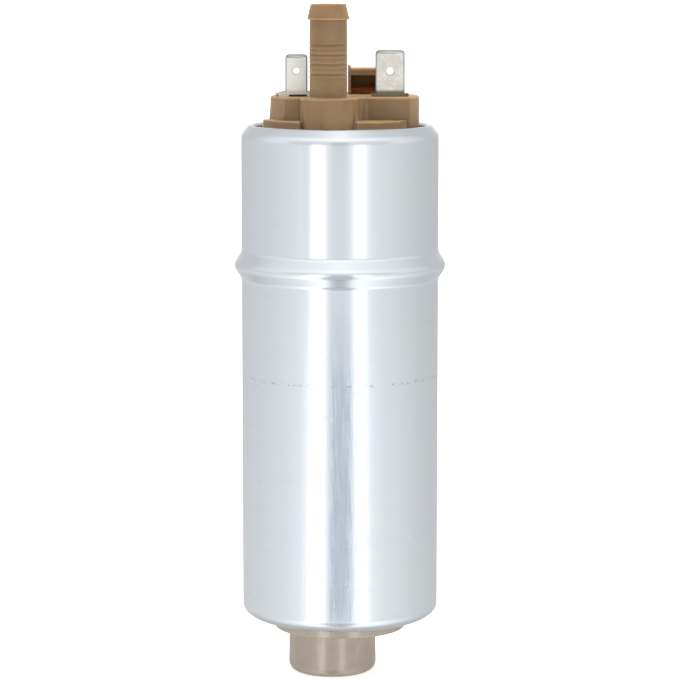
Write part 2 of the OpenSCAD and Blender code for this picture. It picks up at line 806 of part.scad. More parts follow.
module commutator_hub() {
  hub_low_r = commutator_d / 2 - 0.3;
  collar_r = washer_d / 2;
  color([0.22, 0.16, 0.12])
  difference() {
    union() {
      disc(collar_r + 0.6, core_top_z + insulator_h, segment_z);
      disc(hub_low_r, commutator_z, segment_z);
      disc(collar_r, segment_z, upper_washer_z);
    }
    disc(shaft_r + seat_gap, core_top_z, upper_washer_z + 1);
  }
}

module commutator_segments() {
  inner_r = washer_d / 2 + 0.8;
  outer_r = commutator_d / 2;
  hook_h = 2.2;
  color(copper)
  for (i = [0:core_teeth - 1]) rotate(i * slot_pitch) {
    at_height(segment_z) linear_extrude(segment_h) intersection() {
      difference() {
        circle(r = outer_r);
        circle(r = inner_r);
      }
      polygon([[segment_slit / 2 / sin(slot_pitch / 2), 0],
        [outer_r * 1.4, (outer_r * 1.4 - segment_slit / 2 / sin(slot_pitch / 2)) * tan(slot_pitch / 2)],
        [outer_r * 1.4, -(outer_r * 1.4 - segment_slit / 2 / sin(slot_pitch / 2)) * tan(slot_pitch / 2)]]);
    }
    translate([outer_r - 0.25, -0.8, brush_face_z - hook_h - 0.4]) cube([0.8, 1.6, hook_h]);
  }
}

module rounded_disc(r, from_z, to_z, lean = 0) {
  rotate_extrude() polygon(concat(
    [[0, from_z], [r, from_z]],
    arc(r - lean - plateau_round_r, to_z - plateau_round_r, plateau_round_r, 0, 90),
    [[0, to_z]]));
}

// A slab across the cover whose front top edge is rounded
module front_slab(front, from_x, to_x) {
  translate([from_x, 0, 0]) rotate([90, 0, 90]) linear_extrude(to_x - from_x) polygon(concat(
    [[insert_r, flange_top_z - 2], [-front, flange_top_z - 2]],
    arc(-front + plateau_round_r, plateau_z - plateau_round_r, plateau_round_r, 180, 90),
    [[insert_r, plateau_z]]));
}

module cover_flange() {
  lean = (seat_gap + (insert_r - crimp_in_r) * cos(crimp_angle)) / sin(crimp_angle);
  top_r = crimp_in_r - seat_gap / cos(crimp_angle) - (flange_top_z - crimp_in_z) * tan(crimp_angle);
  rotate_extrude() polygon([
    [0, cover_z], [insert_r, cover_z],
    [insert_r, cover_seal_z - groove_h / 2], [groove_r, cover_seal_z - groove_h / 2],
    [groove_r, cover_seal_z + groove_h / 2], [insert_r, cover_seal_z + groove_h / 2],
    [insert_r, crimp_in_z - lean], [top_r, flange_top_z], [0, flange_top_z]]);
  spigot(cover_z - spigot_h, cover_z + 1);
}

// The ledge runs round the cover but stops at the boss and at its cut end
module cover_ledge() {
  r = ledge_d / 2;
  difference() {
    disc(r, flange_top_z - 1, ledge_z);
    translate([boss_x - boss_r, -insert_r, flange_top_z - 2])
      cube([2 * boss_r, insert_r + boss_y - boss_r / 2, ledge_h + 4]);
    at_height(flange_top_z - 2) linear_extrude(ledge_h + 4) polygon([
      [ledge_end_x - ledge_chamfer, -insert_r], [ledge_end_x - ledge_chamfer, -r * 0.65],
      [ledge_end_x, -wide_front_y], [insert_r, -wide_front_y], [insert_r, -insert_r]]);
  }
}

module cover_plateau() {
  intersection() {
    rounded_disc(narrow_side_r, flange_top_z - 1, plateau_z, side_draft);
    front_slab(narrow_front_y, -insert_r, boss_x);
  }
  intersection() {
    rounded_disc(wide_side_r, flange_top_z - 1, plateau_z);
    front_slab(wide_front_y, boss_x, insert_r);
  }
  at_nozzle() rounded_disc(boss_r, flange_top_z - 1, plateau_z);
}

// The web between the boss and the front wall, hollowed by a cutter that rounds its top edge
module boss_fillet() {
  reach = boss_r + boss_fillet_r;
  cutter_y = -wide_front_y - boss_fillet_r;
  cutter_x = boss_x + sqrt(reach * reach - (cutter_y - boss_y) * (cutter_y - boss_y));
  difference() {
    at_height(flange_top_z - 1) linear_extrude(plateau_z - flange_top_z + 1)
      polygon([[boss_x, boss_y], [cutter_x, cutter_y], [cutter_x, -wide_front_y + 1], [boss_x, -wide_front_y + 1]]);
    translate([cutter_x, cutter_y, 0]) rotate_extrude() polygon(concat(
      [[0, flange_top_z - 2], [boss_fillet_r, flange_top_z - 2]],
      arc(boss_fillet_r + plateau_round_r, plateau_z - plateau_round_r, plateau_round_r, 180, 90),
      [[boss_fillet_r + plateau_round_r, plateau_z + 1], [0, plateau_z + 1]]));
  }
}

module vent_hood() {
  back = hood_y + hood_depth;
  slope = 2;
  translate([hood_x, 0, 0]) difference() {
    union() {
      rotate([90, 0, 90]) linear_extrude(hood_w) polygon([
        [hood_y, plateau_z - 1], [hood_y, plateau_z + hood_h], [back - slope, plateau_z + hood_h],
        [back, plateau_z + hood_h - slope], [back, plateau_z - 1]]);
      translate([0, hood_y, plateau_z - 1]) cube([hood_wall, hood_wall, hood_h + hood_post_rise + 1]);
    }
    translate([hood_wall, 0, 0]) rotate([90, 0, 90]) linear_extrude(hood_w - 2 * hood_wall) polygon([
      [hood_y - 1, plateau_z], [hood_y - 1, plateau_z + hood_h - hood_wall],
      [back - hood_wall - slope * 0.75, plateau_z + hood_h - hood_wall],
      [back - hood_wall, plateau_z + hood_h - hood_wall - slope * 0.75], [back - hood_wall, plateau_z]]);
  }
}

function rib_points(i) =
  let (z = plateau_z + rib_start + (rib_count - 1 - i) * rib_pitch)
  [[nozzle_r, z + 0.3], [nozzle_r + rib_rise, z + 0.1], [nozzle_r + rib_rise, z - 0.1], [nozzle_r, z - 0.12]];

module outlet_nozzle() {
  foot_r = 0.5;
  tip_round = 0.2;
  at_nozzle() rotate_extrude() polygon(concat(
    [[0, plateau_z - 1], [0, tip_z]],
    arc(tip_d / 2 - tip_round, tip_z - tip_round, tip_round, 90, 15, 4),
    [[barb_d / 2, tip_z - barb_h], [nozzle_r - 0.05, tip_z - barb_h]],
    [for (i = [0:rib_count - 1]) each rib_points(i)],
    arc(nozzle_r + foot_r, plateau_z + foot_r, foot_r, 180, 270, 4),
    [[nozzle_r + foot_r, plateau_z - 1]]));
}

module brush_guides() {
  for (side = [-1, 1])
    translate([side * brush_reach, 0, guide_z]) linear_extrude(cover_z + 1 - guide_z)
      square([brush_l + 2 * (brush_gap + guide_wall), brush_w + 2 * (brush_gap + guide_wall)], center = true);
}

// Room for each brush and its spring, and the slit that its lead moves in
module brush_pockets() {
  lead_slit = 1.4;
  for (side = [-1, 1]) {
    translate([side * brush_reach, 0, guide_z - 1]) linear_extrude(pocket_top_z - guide_z + 1)
      square([brush_l + 2 * brush_gap, brush_w + 2 * brush_gap], center = true);
    translate([side * (brush_reach + brush_l / 2 + 1), -brush_w / 4, guide_z - 1])
      linear_extrude(cover_z - guide_z + 1) square([3, lead_slit], center = true);
  }
}

module choke_pockets() {
  for (side = [-1, 1])
    translate([side * choke_x, -choke_y, 0]) disc(choke_pocket_r, cover_z - 2, choke_top_z);
}

function tail_x(side) = side * (choke_x - 0.2);

module tail_slots() {
  for (side = [-1, 1])
    translate([tail_x(side), -blade_y, tail_z - 0.2]) linear_extrude(plateau_z - tail_z + 1)
      square([tail_w + 2 * seat_gap, blade_t + 2 * seat_gap], center = true);
}

module check_chamber() {
  at_nozzle() {
    disc(check_chamber_r, cover_z - 1, check_chamber_top_z);
    disc(outlet_bore_r, check_chamber_top_z - 1, tip_z + 1);
  }
}

module relief_chamber() {
  at_relief() {
    disc(relief_hole_d / 2, cover_z - 1, plateau_z);
    at_height(relief_seat_z) rotate_extrude() polygon([
      [0, 0], [relief_hole_d / 2, 0], [relief_chamber_r, relief_chamber_r - relief_hole_d / 2],
      [relief_chamber_r, plateau_z - relief_seat_z + 0.5], [0, plateau_z - relief_seat_z + 0.5]]);
  }
}

module outlet_cover() {
  color(plastic)
  difference() {
    union() {
      cover_flange();
      cover_ledge();
      cover_plateau();
      boss_fillet();
      vent_hood();
      outlet_nozzle();
      disc(hub_r, upper_bushing_z, cover_z + 1);
      brush_guides();
      translate([-narrow_blade_x, -blade_y + 1.2, plateau_z - 1])
        linear_extrude(1 + foot_gap) square([narrow_blade_w - 1.8, 2.4], center = true);
    }
    disc(bushing_r + seat_gap, upper_bushing_z - 1, upper_bushing_top_z);
    disc(shaft_r + 0.4, upper_bushing_z - 1, upper_bushing_top_z + 1);
    brush_pockets();
    choke_pockets();
    tail_slots();
    check_chamber();
    relief_chamber();
  }
}

// Front outline of a blade, from its foot at 0 to its tip, with cut corners
function blade_outline(w, h) =
  let (c = 0.7) [[-w / 2, 0], [w / 2, 0], [w / 2, h - c], [w / 2 - c, h], [-w / 2 + c, h], [-w / 2, h - c]];

// A flat blade with a tapered tip and a detent hole, standing on the plateau
module blade(w, h, hole_d, hole_h) {
  tip_t = blade_t * 0.45;
  difference() {
    intersection() {
      rotate([90, 0, 0]) at_height(-blade_t) linear_extrude(2 * blade_t) polygon(blade_outline(w, h));
      translate([-w, 0, 0]) rotate([90, 0, 90]) linear_extrude(2 * w) polygon([
        [-blade_t / 2, 0], [blade_t / 2, 0], [blade_t / 2, h - blade_tip_h], [tip_t / 2, h],
        [-tip_t / 2, h], [-blade_t / 2, h - blade_tip_h]]);
    }
    translate([0, 0, hole_h]) rotate([90, 0, 0]) at_height(-1) cylinder(d = hole_d, h = 2, $fn = 32);
  }
}

module wide_terminal() {
  shoulder_w = 7.7;
  shoulder_h = 0.6;
  color(tin)
  union() {
    translate([wide_blade_x, -blade_y, plateau_z + seat_gap]) {
      blade(wide_blade_w, wide_blade_h - seat_gap, wide_hole_d, blade_hole_h);
      linear_extrude(shoulder_h) square([shoulder_w, blade_t], center = true);
    }
    translate([tail_x(1), -blade_y, tail_z]) linear_extrude(plateau_z - tail_z + 0.3)
      square([tail_w, blade_t], center = true);
  }
}

module narrow_terminal() {
  foot_z = plateau_z + foot_gap + seat_gap;
  foot_left = 12.9;
  foot_right = 6.9;
  foot_y = 3.4;
  color(tin)
  union() {
    translate([-narrow_blade_x, -blade_y, foot_z])
      blade(narrow_blade_w, narrow_blade_h - foot_gap - seat_gap, narrow_hole_d, blade_hole_h - foot_gap);
    translate([-foot_left, -blade_y - blade_t / 2, foot_z]) cube([foot_left - foot_right, foot_y, foot_h]);
    translate([tail_x(-1), -blade_y, tail_z]) linear_extrude(foot_z - tail_z + 0.3)
      square([tail_w, blade_t], center = true);
  }
}

module choke_core(side) {
  color([0.20, 0.20, 0.22])
  translate([side * choke_x, -choke_y, 0]) disc(choke_core_d / 2, choke_z, choke_top_z);
}

module wide_choke_core() {
  choke_core(1);
}

module narrow_choke_core() {
  choke_core(-1);
}

// The coil ends under the terminal's tail, on the side that faces it
module choke_coil(side) {
  color(copper)
  translate([side * choke_x, -choke_y, 0])
    tube(coil(choke_coil_r, coil_low_z, coil_top_z, choke_turns, 90), choke_wire_d / 2, [0, 0, 1]);
}

module wide_choke_coil() {
  choke_coil(1);
}

module narrow_choke_coil() {
  choke_coil(-1);
}

module brush(side) {
  color([0.16, 0.16, 0.17])
  translate([side * brush_reach, 0, brush_z]) linear_extrude(brush_h)
    square([brush_l, brush_w], center = true);
}

module wide_brush() {
  brush(1);
}

module narrow_brush() {
  brush(-1);
}

module brush_spring(side) {
  color([0.75, 0.76, 0.78])
  translate([side * brush_reach, 0, 0])
    spring(brush_spring_r, brush_wire_d, brush_top_z + seat_gap, pocket_top_z - seat_gap, brush_spring_turns);
}

module wide_brush_spring() {
  brush_spring(1);
}

module narrow_brush_spring() {
  brush_spring(-1);
}

// A braided lead from the brush's side, through the guide's slit, down to the choke coil's low end
module brush_lead(side) {
  lead_d = 0.7;
  start = [brush_reach + brush_l / 2 + 0.08, -brush_w / 4, brush_z + 5.2];
  end = [choke_x - 0.3, -choke_y + choke_coil_r + choke_wire_d / 2 + lead_d / 2, coil_low_z];
  steps = 8;
  color(copper)
  mirror([side < 0 ? 1 : 0, 0, 0])
    tube([for (i = [0:steps]) let (t = i / steps)
      [start[0] + (end[0] - start[0]) * (1 - (1 - t) * (1 - t)),
        start[1] + (end[1] - start[1]) * t * t,
        start[2] + (end[2] - start[2]) * t * t]], lead_d / 2, [0, 0, 1]);
}

module wide_brush_lead() {
  brush_lead(1);
}

module narrow_brush_lead() {
  brush_lead(-1);
}

module check_valve_seat() {
  color([0.72, 0.60, 0.36])
  at_nozzle() rotate_extrude() polygon([
    [check_seat_hole_d / 2, check_seat_z], [check_chamber_r - seat_gap, check_seat_z],
    [check_chamber_r - seat_gap, check_seat_top_z], [check_head_d / 2, check_seat_top_z],
    [check_seat_hole_d / 2, check_seat_top_z - check_cone_h]]);
}

// A coned head with four fins that run in the chamber
module check_valve_poppet() {
  seat_low_z = check_seat_top_z - check_cone_h + check_gap * sqrt(2);
  head_z = check_seat_top_z + check_gap * sqrt(2);
  fin_t = 1;
  color([0.30, 0.30, 0.32])
  at_nozzle() union() {
    rotate_extrude() polygon([
      [0, seat_low_z], [check_seat_hole_d / 2, seat_low_z], [check_head_d / 2, head_z],
      [check_head_d / 2, head_z + 1], [0, head_z + 1]]);
    intersection() {
      disc(check_chamber_r - 0.1, head_z + eps, head_z + check_fin_h);
      for (turn = [45, 135])
        rotate(turn) translate([-check_chamber_r, -fin_t / 2, head_z])
          cube([2 * check_chamber_r, fin_t, check_fin_h]);
    }
  }
}

module check_valve_spring() {
  fin_top_z = check_seat_top_z + check_gap * sqrt(2) + check_fin_h;
  color([0.75, 0.76, 0.78])
  at_nozzle()
    spring(check_spring_r, check_wire_d, fin_top_z + seat_gap, check_chamber_top_z - seat_gap, check_spring_turns);
}

module relief_valve_ball() {
  color([0.80, 0.81, 0.82])
  at_relief() at_height(relief_ball_z) sphere(r = relief_ball_r);
}

module relief_valve_spring() {
  color([0.75, 0.76, 0.78])
  at_relief()
    spring(relief_spring_r, relief_wire_d, relief_ball_z + relief_ball_r * 0.75, relief_plug_z - seat_gap,
      relief_spring_turns);
}

module relief_valve_plug() {
  color([0.72, 0.60, 0.36])
  at_relief() difference() {
    disc(relief_chamber_r - seat_gap, relief_plug_z, relief_plug_z + relief_plug_h);
    disc(relief_hole_d / 2, relief_plug_z - 1, relief_plug_z + relief_plug_h + 1);
  }
}

can_shell();
inlet_cover();
inlet_seal();
rotor_ring();
outer_rotor();
inner_rotor();
port_plate();
pump_dowels();
lower_bushing();
flux_tube();
magnet_left();
magnet_right();
magnet_clips();
shaft();
lower_thrust_washer();
shaft_spacer();
lower_insulator();
armature_core();
armature_winding();
upper_insulator();
commutator_hub();
commutator_segments();
upper_thrust_washer();
upper_bushing();
outlet_cover();
cover_seal();
wide_terminal();
narrow_terminal();
wide_choke_core();
narrow_choke_core();
wide_choke_coil();
narrow_choke_coil();
wide_brush();
narrow_brush();
wide_brush_spring();
narrow_brush_spring();
wide_brush_lead();
narrow_brush_lead();
check_valve_seat();
check_valve_poppet();
check_valve_spring();
relief_valve_ball();
relief_valve_spring();
relief_valve_plug();
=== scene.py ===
import json
import math

import bmesh
import bpy
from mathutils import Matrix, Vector

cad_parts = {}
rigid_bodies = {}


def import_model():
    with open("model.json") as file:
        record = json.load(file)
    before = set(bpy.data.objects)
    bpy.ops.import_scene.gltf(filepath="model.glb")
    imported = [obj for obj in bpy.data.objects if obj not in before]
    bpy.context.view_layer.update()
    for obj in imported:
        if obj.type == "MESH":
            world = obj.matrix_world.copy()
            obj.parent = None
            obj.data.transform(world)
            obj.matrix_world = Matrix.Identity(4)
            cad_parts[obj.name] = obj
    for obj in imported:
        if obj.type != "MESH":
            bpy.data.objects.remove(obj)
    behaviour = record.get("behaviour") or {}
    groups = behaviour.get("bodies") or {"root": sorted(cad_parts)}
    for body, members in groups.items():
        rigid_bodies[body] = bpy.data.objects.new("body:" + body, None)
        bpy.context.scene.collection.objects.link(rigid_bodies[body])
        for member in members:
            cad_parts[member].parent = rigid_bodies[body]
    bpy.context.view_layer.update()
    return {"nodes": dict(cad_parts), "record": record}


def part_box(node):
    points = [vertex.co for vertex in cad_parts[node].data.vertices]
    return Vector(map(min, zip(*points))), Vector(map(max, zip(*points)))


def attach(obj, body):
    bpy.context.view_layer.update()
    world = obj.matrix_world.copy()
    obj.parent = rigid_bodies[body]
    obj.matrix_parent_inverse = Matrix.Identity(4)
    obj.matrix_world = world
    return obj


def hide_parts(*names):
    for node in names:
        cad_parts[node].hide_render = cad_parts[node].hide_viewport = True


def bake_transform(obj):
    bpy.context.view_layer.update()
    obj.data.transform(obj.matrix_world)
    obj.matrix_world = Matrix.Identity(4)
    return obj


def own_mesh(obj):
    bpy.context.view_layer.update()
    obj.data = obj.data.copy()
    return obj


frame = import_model()
scene = bpy.context.scene
mm = 0.001
print("frame loaded with", len(frame["nodes"]), "nodes")

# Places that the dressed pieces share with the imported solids, in millimetres
canFoot, canLip = (corner.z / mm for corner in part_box("can_shell"))
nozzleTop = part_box("outlet_cover")[1].z / mm
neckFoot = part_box("inlet_cover")[0].z / mm

# How closely the meshes are judged, in millimetres and degrees
meshing = {
    "weld": 0.002,  # Vertices this close are one
    "close": 0.003,  # The same in a finished Boolean
    "near": 0.01,  # Two places this close are the same place
    "slack": 0.05,  # The same where a lean or a bevel has moved one of them
    "level": 0.1,  # An edge this far under a height still counts as on it
    "clear": 30,  # Past the part's sides
    "sharp": 40,
}


# Editing helpers

def deselectAll():
    if bpy.context.mode != "OBJECT":
        bpy.ops.object.mode_set(mode="OBJECT")
    bpy.ops.object.select_all(action="DESELECT")


def makeActive(piece):
    deselectAll()
    piece.select_set(True)
    bpy.context.view_layer.objects.active = piece


def editVerts(piece, wanted=None):
    # Opens the piece in edit mode with the vertices selected that the rule asks for, given in millimetres
    makeActive(piece)
    bpy.ops.object.mode_set(mode="EDIT")
    bpy.ops.mesh.select_mode(type="VERT")
    bpy.ops.mesh.select_all(action="SELECT" if wanted is None else "DESELECT")
    if wanted:
        mesh = bmesh.from_edit_mesh(piece.data)
        for vert in mesh.verts:
            vert.select = wanted(vert.co / mm)
        mesh.select_flush_mode()
        bmesh.update_edit_mesh(piece.data)


def editEdges(piece, wanted):
    # The same with edges, whose rule is given both ends
    makeActive(piece)
    bpy.ops.object.mode_set(mode="EDIT")
    bpy.ops.mesh.select_mode(type="EDGE")
    bpy.ops.mesh.select_all(action="DESELECT")
    mesh = bmesh.from_edit_mesh(piece.data)
    for edge in mesh.edges:
        edge.select = wanted(edge.verts[0].co / mm, edge.verts[1].co / mm)
    bmesh.update_edit_mesh(piece.data)


def backToObject():
    bpy.ops.object.mode_set(mode="OBJECT")


def applyModifier(piece, kind, **settings):
    makeActive(piece)
    modifier = piece.modifiers.new(kind.title(), kind)
    for name, value in settings.items():
        setattr(modifier, name, value)
    bpy.ops.object.modifier_apply(modifier=modifier.name)


def combine(piece, other, operation="UNION"):
    applyModifier(piece, "BOOLEAN", object=other, operation=operation, solver="EXACT")
    bpy.data.objects.remove(other)


def closeMesh(piece):
    # Welds what the Booleans leave a hair apart
    editVerts(piece)
    bpy.ops.mesh.remove_doubles(threshold=meshing["close"] * mm)
    bpy.ops.mesh.dissolve_degenerate(threshold=meshing["weld"] * mm)
    bpy.ops.mesh.select_all(action="DESELECT")
    bpy.ops.mesh.select_non_manifold()
    if any(edge.select for edge in bmesh.from_edit_mesh(piece.data).edges):
        bpy.ops.mesh.fill()
    backToObject()


def shiftTo(piece, x=0, y=0, z=0):
    editVerts(piece)
    bpy.ops.transform.translate(value=(x * mm, y * mm, z * mm))
    backToObject()


def arcPoints(centre, radius, start, end, steps=8):
    turns = [math.radians(start + (end - start) * i / steps) for i in range(steps + 1)]
    return [(centre[0] + radius * math.cos(a), centre[1] + radius * math.sin(a)) for a in turns]


def drawOutline(name, points):
    # One vertex, extruded from point to point
    deselectAll()
    bpy.ops.mesh.primitive_plane_add(size=mm)
    piece = bpy.context.object
    piece.name = name
    bpy.ops.object.mode_set(mode="EDIT")
    bpy.ops.mesh.select_mode(type="VERT")
    bpy.ops.mesh.merge(type="CENTER")
    bpy.ops.transform.translate(value=points[0] * mm)
    for here, there in zip(points, points[1:]):
        bpy.ops.mesh.extrude_vertices_move(TRANSFORM_OT_translate={"value": (there - here) * mm})
    return piece


def turned(name, section, steps):
    # A section of (radius, height) points, spun about the upright axis
    piece = drawOutline(name, [Vector((r, 0, z)) for r, z in section])
    bpy.ops.mesh.select_all(action="SELECT")
    bpy.ops.mesh.spin(steps=steps, angle=2 * math.pi, center=(0, 0, 0), axis=(0, 0, 1))
    bpy.ops.mesh.select_all(action="SELECT")
    bpy.ops.mesh.remove_doubles(threshold=meshing["weld"] * mm)
    bpy.ops.mesh.normals_make_consistent(inside=False)
    backToObject()
    return piece


def raised(name, plan, low, high):
    # A plan of (x, y) points, closed, filled and extruded upwards
    piece = drawOutline(name, [Vector((x, y, low)) for x, y in plan])
    bpy.ops.mesh.select_all(action="SELECT")
    bpy.ops.mesh.edge_face_add()
    bpy.ops.mesh.extrude_region_move(TRANSFORM_OT_translate={"value": (0, 0, (high - low) * mm)})
    bpy.ops.mesh.select_all(action="SELECT")
    bpy.ops.mesh.normals_make_consistent(inside=False)
    backToObject()
    return piece


def block(name, low, high):
    deselectAll()
    low, high = Vector(low) * mm, Vector(high) * mm
    bpy.ops.mesh.primitive_cube_add(size=1, location=(low + high) / 2, scale=high - low)
    piece = bpy.context.object
    piece.name = name
    bpy.ops.object.transform_apply(location=True, rotation=True, scale=True)
    return piece


def copyNode(node, name):
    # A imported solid's mesh as a new piece, with its loose triangles welded
    deselectAll()
    piece = bpy.data.objects.new(name, frame["nodes"][node].data.copy())
    scene.collection.objects.link(piece)
    piece.data.materials.clear()
    editVerts(piece)
    bpy.ops.mesh.remove_doubles(threshold=meshing["weld"] * mm)
    backToObject()
    return piece


def topEdges(height):
    # A rule for the edges that lie at a height or over it
    return lambda a, b: min(a.z, b.z) > height - meshing["level"]


def bevelEdges(piece, wanted, width, segments=3):
    editEdges(piece, wanted)
    bpy.ops.mesh.bevel(offset=width * mm, segments=segments, affect="EDGES", clamp_overlap=True)
    backToObject()


def bevelSharp(piece, width, low):
    # All sharp edges that reach above a height
    makeActive(piece)
    bpy.ops.object.mode_set(mode="EDIT")
    bpy.ops.mesh.select_mode(type="EDGE")
    bpy.ops.mesh.select_all(action="DESELECT")
    bpy.ops.mesh.edges_select_sharp(sharpness=math.radians(meshing["sharp"]))
    mesh = bmesh.from_edit_mesh(piece.data)
    for edge in mesh.edges:
        if max(vert.co.z for vert in edge.verts) < low * mm:
            edge.select = False
    bmesh.update_edit_mesh(piece.data)
    bpy.ops.mesh.bevel(offset=width * mm, segments=2, affect="EDGES", clamp_overlap=True)
    backToObject()


def smoothBy(piece, angle):
    makeActive(piece)
    bpy.ops.object.shade_smooth_by_angle(angle=math.radians(angle))
    applyModifier(piece, "WEIGHTED_NORMAL", keep_sharp=True, weight=80)


# Material helpers

def addNode(tree, kind, feeds=None, **settings):
    # A feed is another node's socket or a plain value
    node = tree.nodes.new("ShaderNode" + kind)
    for name, value in settings.items():
        setattr(node, name, value)
    for socket, feed in (feeds or {}).items():
        if isinstance(feed, bpy.types.NodeSocket):
            tree.links.new(feed, node.inputs[socket])
        else:
            node.inputs[socket].default_value = feed
    return node


def setPlain(shader, plain):
    for socket, value in plain.items():
        shader.inputs[socket].default_value = value


def calc(tree, operation, *values):
    # Takes any number of values together, from left to right
    result = addNode(tree, "Math", dict(enumerate(values[:2])), operation=operation).outputs[0]
    return calc(tree, operation, result, *values[2:]) if values[2:] else result


def between(tree, value, low, high, start=0.0, end=1.0):
    # Goes smoothly from start to end as a value goes from low to high
    feeds = {"Value": value, "From Min": low, "From Max": high, "To Min": start, "To Max": end}
    return addNode(tree, "MapRange", feeds, interpolation_type="SMOOTHSTEP").outputs[0]


def blend(tree, share, first, second):
    return addNode(tree, "Mix", {0: share, 2: first, 3: second}).outputs[0]


def mixColour(tree, share, first, second):
    return addNode(tree, "Mix", {0: share, 6: first, 7: second}, data_type="RGBA").outputs[2]


def newGroup(name, inputs, outputs):
    # Every effect reads the surface's place first
    group = bpy.data.node_groups.new(name, "ShaderNodeTree")
    for title, kind, value in [("Vector", "Vector", (0, 0, 0))] + inputs:
        socket = group.interface.new_socket(title, in_out="INPUT", socket_type="NodeSocket" + kind)
        socket.default_value = value
    for title, kind in outputs:
        group.interface.new_socket(title, in_out="OUTPUT", socket_type="NodeSocket" + kind)
    return group, group.nodes.new("NodeGroupInput").outputs, group.nodes.new("NodeGroupOutput").inputs


def placeGroup(tree, group, feeds):
    return addNode(tree, "Group", feeds, node_tree=group)


# The can

canSizes = {
    "radius": 21.5,
    "wall": 1.2,
    "mouthRadius": 14.8,
    "rollRadius": 2.2,
    "underRadius": 5,
    "beadHeight": 78.2,
    "beadRise": 1.5,
    "beadCrest": 2.2,
    "beadFoot": 1.5,
    "beadAngle": 33,
    "easeRadius": 12,
    "easeAngle": 5,
    "bendRadius": 1.8,
    "bendAngle": 40,
    "crimpLength": 1.6,
    "ringPitch": 6,
    "highRings": 3,
    "steps": 192,
    "smoothing": 50,
}


def canSkin(depth):
    # The can's section at a depth under its outside, from the mouth up to the crimped edge
    s = canSizes
    radius, angle = s["radius"], s["beadAngle"]
    foot, crest = s["beadFoot"], s["beadCrest"]
    flank = s["beadRise"] - (foot + crest) * (1 - math.cos(math.radians(angle)))
    half = (foot + crest) * math.sin(math.radians(angle)) + flank / math.tan(math.radians(angle))
    bead = canFoot + s["beadHeight"]
    crestCentre = radius + s["beadRise"] - crest
    ease, easeAngle = s["easeRadius"], s["easeAngle"]
    bend = s["bendRadius"]
    bendCentre = radius - bend - easeShift()
    crimp = crimpHeight()
    easeDrop = (ease - bend) * math.sin(math.radians(easeAngle))
    # The roll's tight arc meets the wide arc of the underside at 45 degrees
    roll, under = s["rollRadius"], s["underRadius"]
    inset = (under - roll) * math.sqrt(0.5)
    rollTop = canFoot + under - inset
    lowRings = int((bead - rollTop - half) / s["ringPitch"])
    lowWall = [(radius - depth, rollTop + s["ringPitch"] * i) for i in range(1, lowRings)]
    highWall = [(radius - depth, bead + half + s["ringPitch"] * i) for i in range(1, s["highRings"] + 1)]
    return ([(s["mouthRadius"], canFoot + depth)]
            + arcPoints((radius - roll - inset, canFoot + under), under - depth, -90, -45)
            + arcPoints((radius - roll, rollTop), roll - depth, -45, 0)[1:]
            + lowWall
            + arcPoints((radius + foot, bead - half), foot + depth, 180, 180 - angle, 6)
            + arcPoints((crestCentre, bead), crest - depth, -angle, angle, 12)
            + arcPoints((radius + foot, bead + half), foot + depth, 180 + angle, 180, 6)
            + highWall
            + arcPoints((radius - ease, crimp - easeDrop), ease - depth, 0, easeAngle, 4)
            + arcPoints((bendCentre, crimp), bend - depth, easeAngle, s["bendAngle"])[1:])


def easeShift():
    # How far the wall's gentle start of the bend brings the crimp in
    s = canSizes
    return (s["easeRadius"] - s["bendRadius"]) * (1 - math.cos(math.radians(s["easeAngle"])))


def crimpHeight():
    # Where the crimp's bend has its centre
    s = canSizes
    lean = math.radians(s["bendAngle"])
    lipEnd = s["bendRadius"] * math.sin(lean) + s["crimpLength"] * math.cos(lean)
    return canLip - lipEnd - s["wall"] / 2 * (1 - math.sin(lean))


def makeCan():
    s = canSizes
    lean = math.radians(s["bendAngle"])
    across, along = math.cos(lean), math.sin(lean)
    edgeRadius = s["radius"] - easeShift() - s["bendRadius"] * (1 - across) - s["crimpLength"] * along
    edgeHeight = crimpHeight() + s["bendRadius"] * along + s["crimpLength"] * across
    half = s["wall"] / 2
    lipCentre = (edgeRadius - half * across, edgeHeight - half * along)
    lip = arcPoints(lipCentre, half, s["bendAngle"], s["bendAngle"] + 180)
    section = canSkin(0) + lip + list(reversed(canSkin(s["wall"])))
    piece = turned("can", section + section[:1], s["steps"])
    smoothBy(piece, s["smoothing"])
    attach(piece, "pump_body")
    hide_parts("can_shell")
    return piece


can = makeCan()
print("can made")


# The outlet cover

coverSizes = {
    "height": 7.9,
    "overlap": 0.5,
    "sunk": 1,
    "ledgeRadius": 17.1,
    "ledgeHeight": 3,
    "ledgeEdge": 0.3,
    "ledgeEnd": 14.4,
    "ledgeChamfer": 1.6,
    "ledgeSlope": 0.65,
    "ledgeRear": -4,
    "ledgeReach": 25,
    "leftRadius": 15.6,
    "leftLean": 0.6,
    "leftFront": 9.2,
    "rightRadius": 17.2,
    "rightFront": 8.2,
    "topRounding": 1.15,
    "bossRadius": 6.1,
    "bossHollow": 2.5,
    "plinthWidth": 6.6,
    "plinthDepth": 0.8,
    "plinthX": -10.4,
    "plinthShift": 1.6,
    "plinthRise": 0.35,
    "gutterRadius": 19.6,
    "gutterDepth": 1.3,
    "gutterGap": 0.02,
    "seamDrop": 0.06,
    "checkRadius": 4,
    "checkPlay": 0.05,
    "checkDrop": 1.5,
    "reliefRadius": 2.6,
    "reliefPlay": 0.01,
    "reliefX": 6.8,
    "reliefY": 9.2,
    "slotX": 12.2,
    "slotWidth": 2.46,
    "slotDepth": 0.86,
    "steps": 192,
    "smoothing": 32,
}
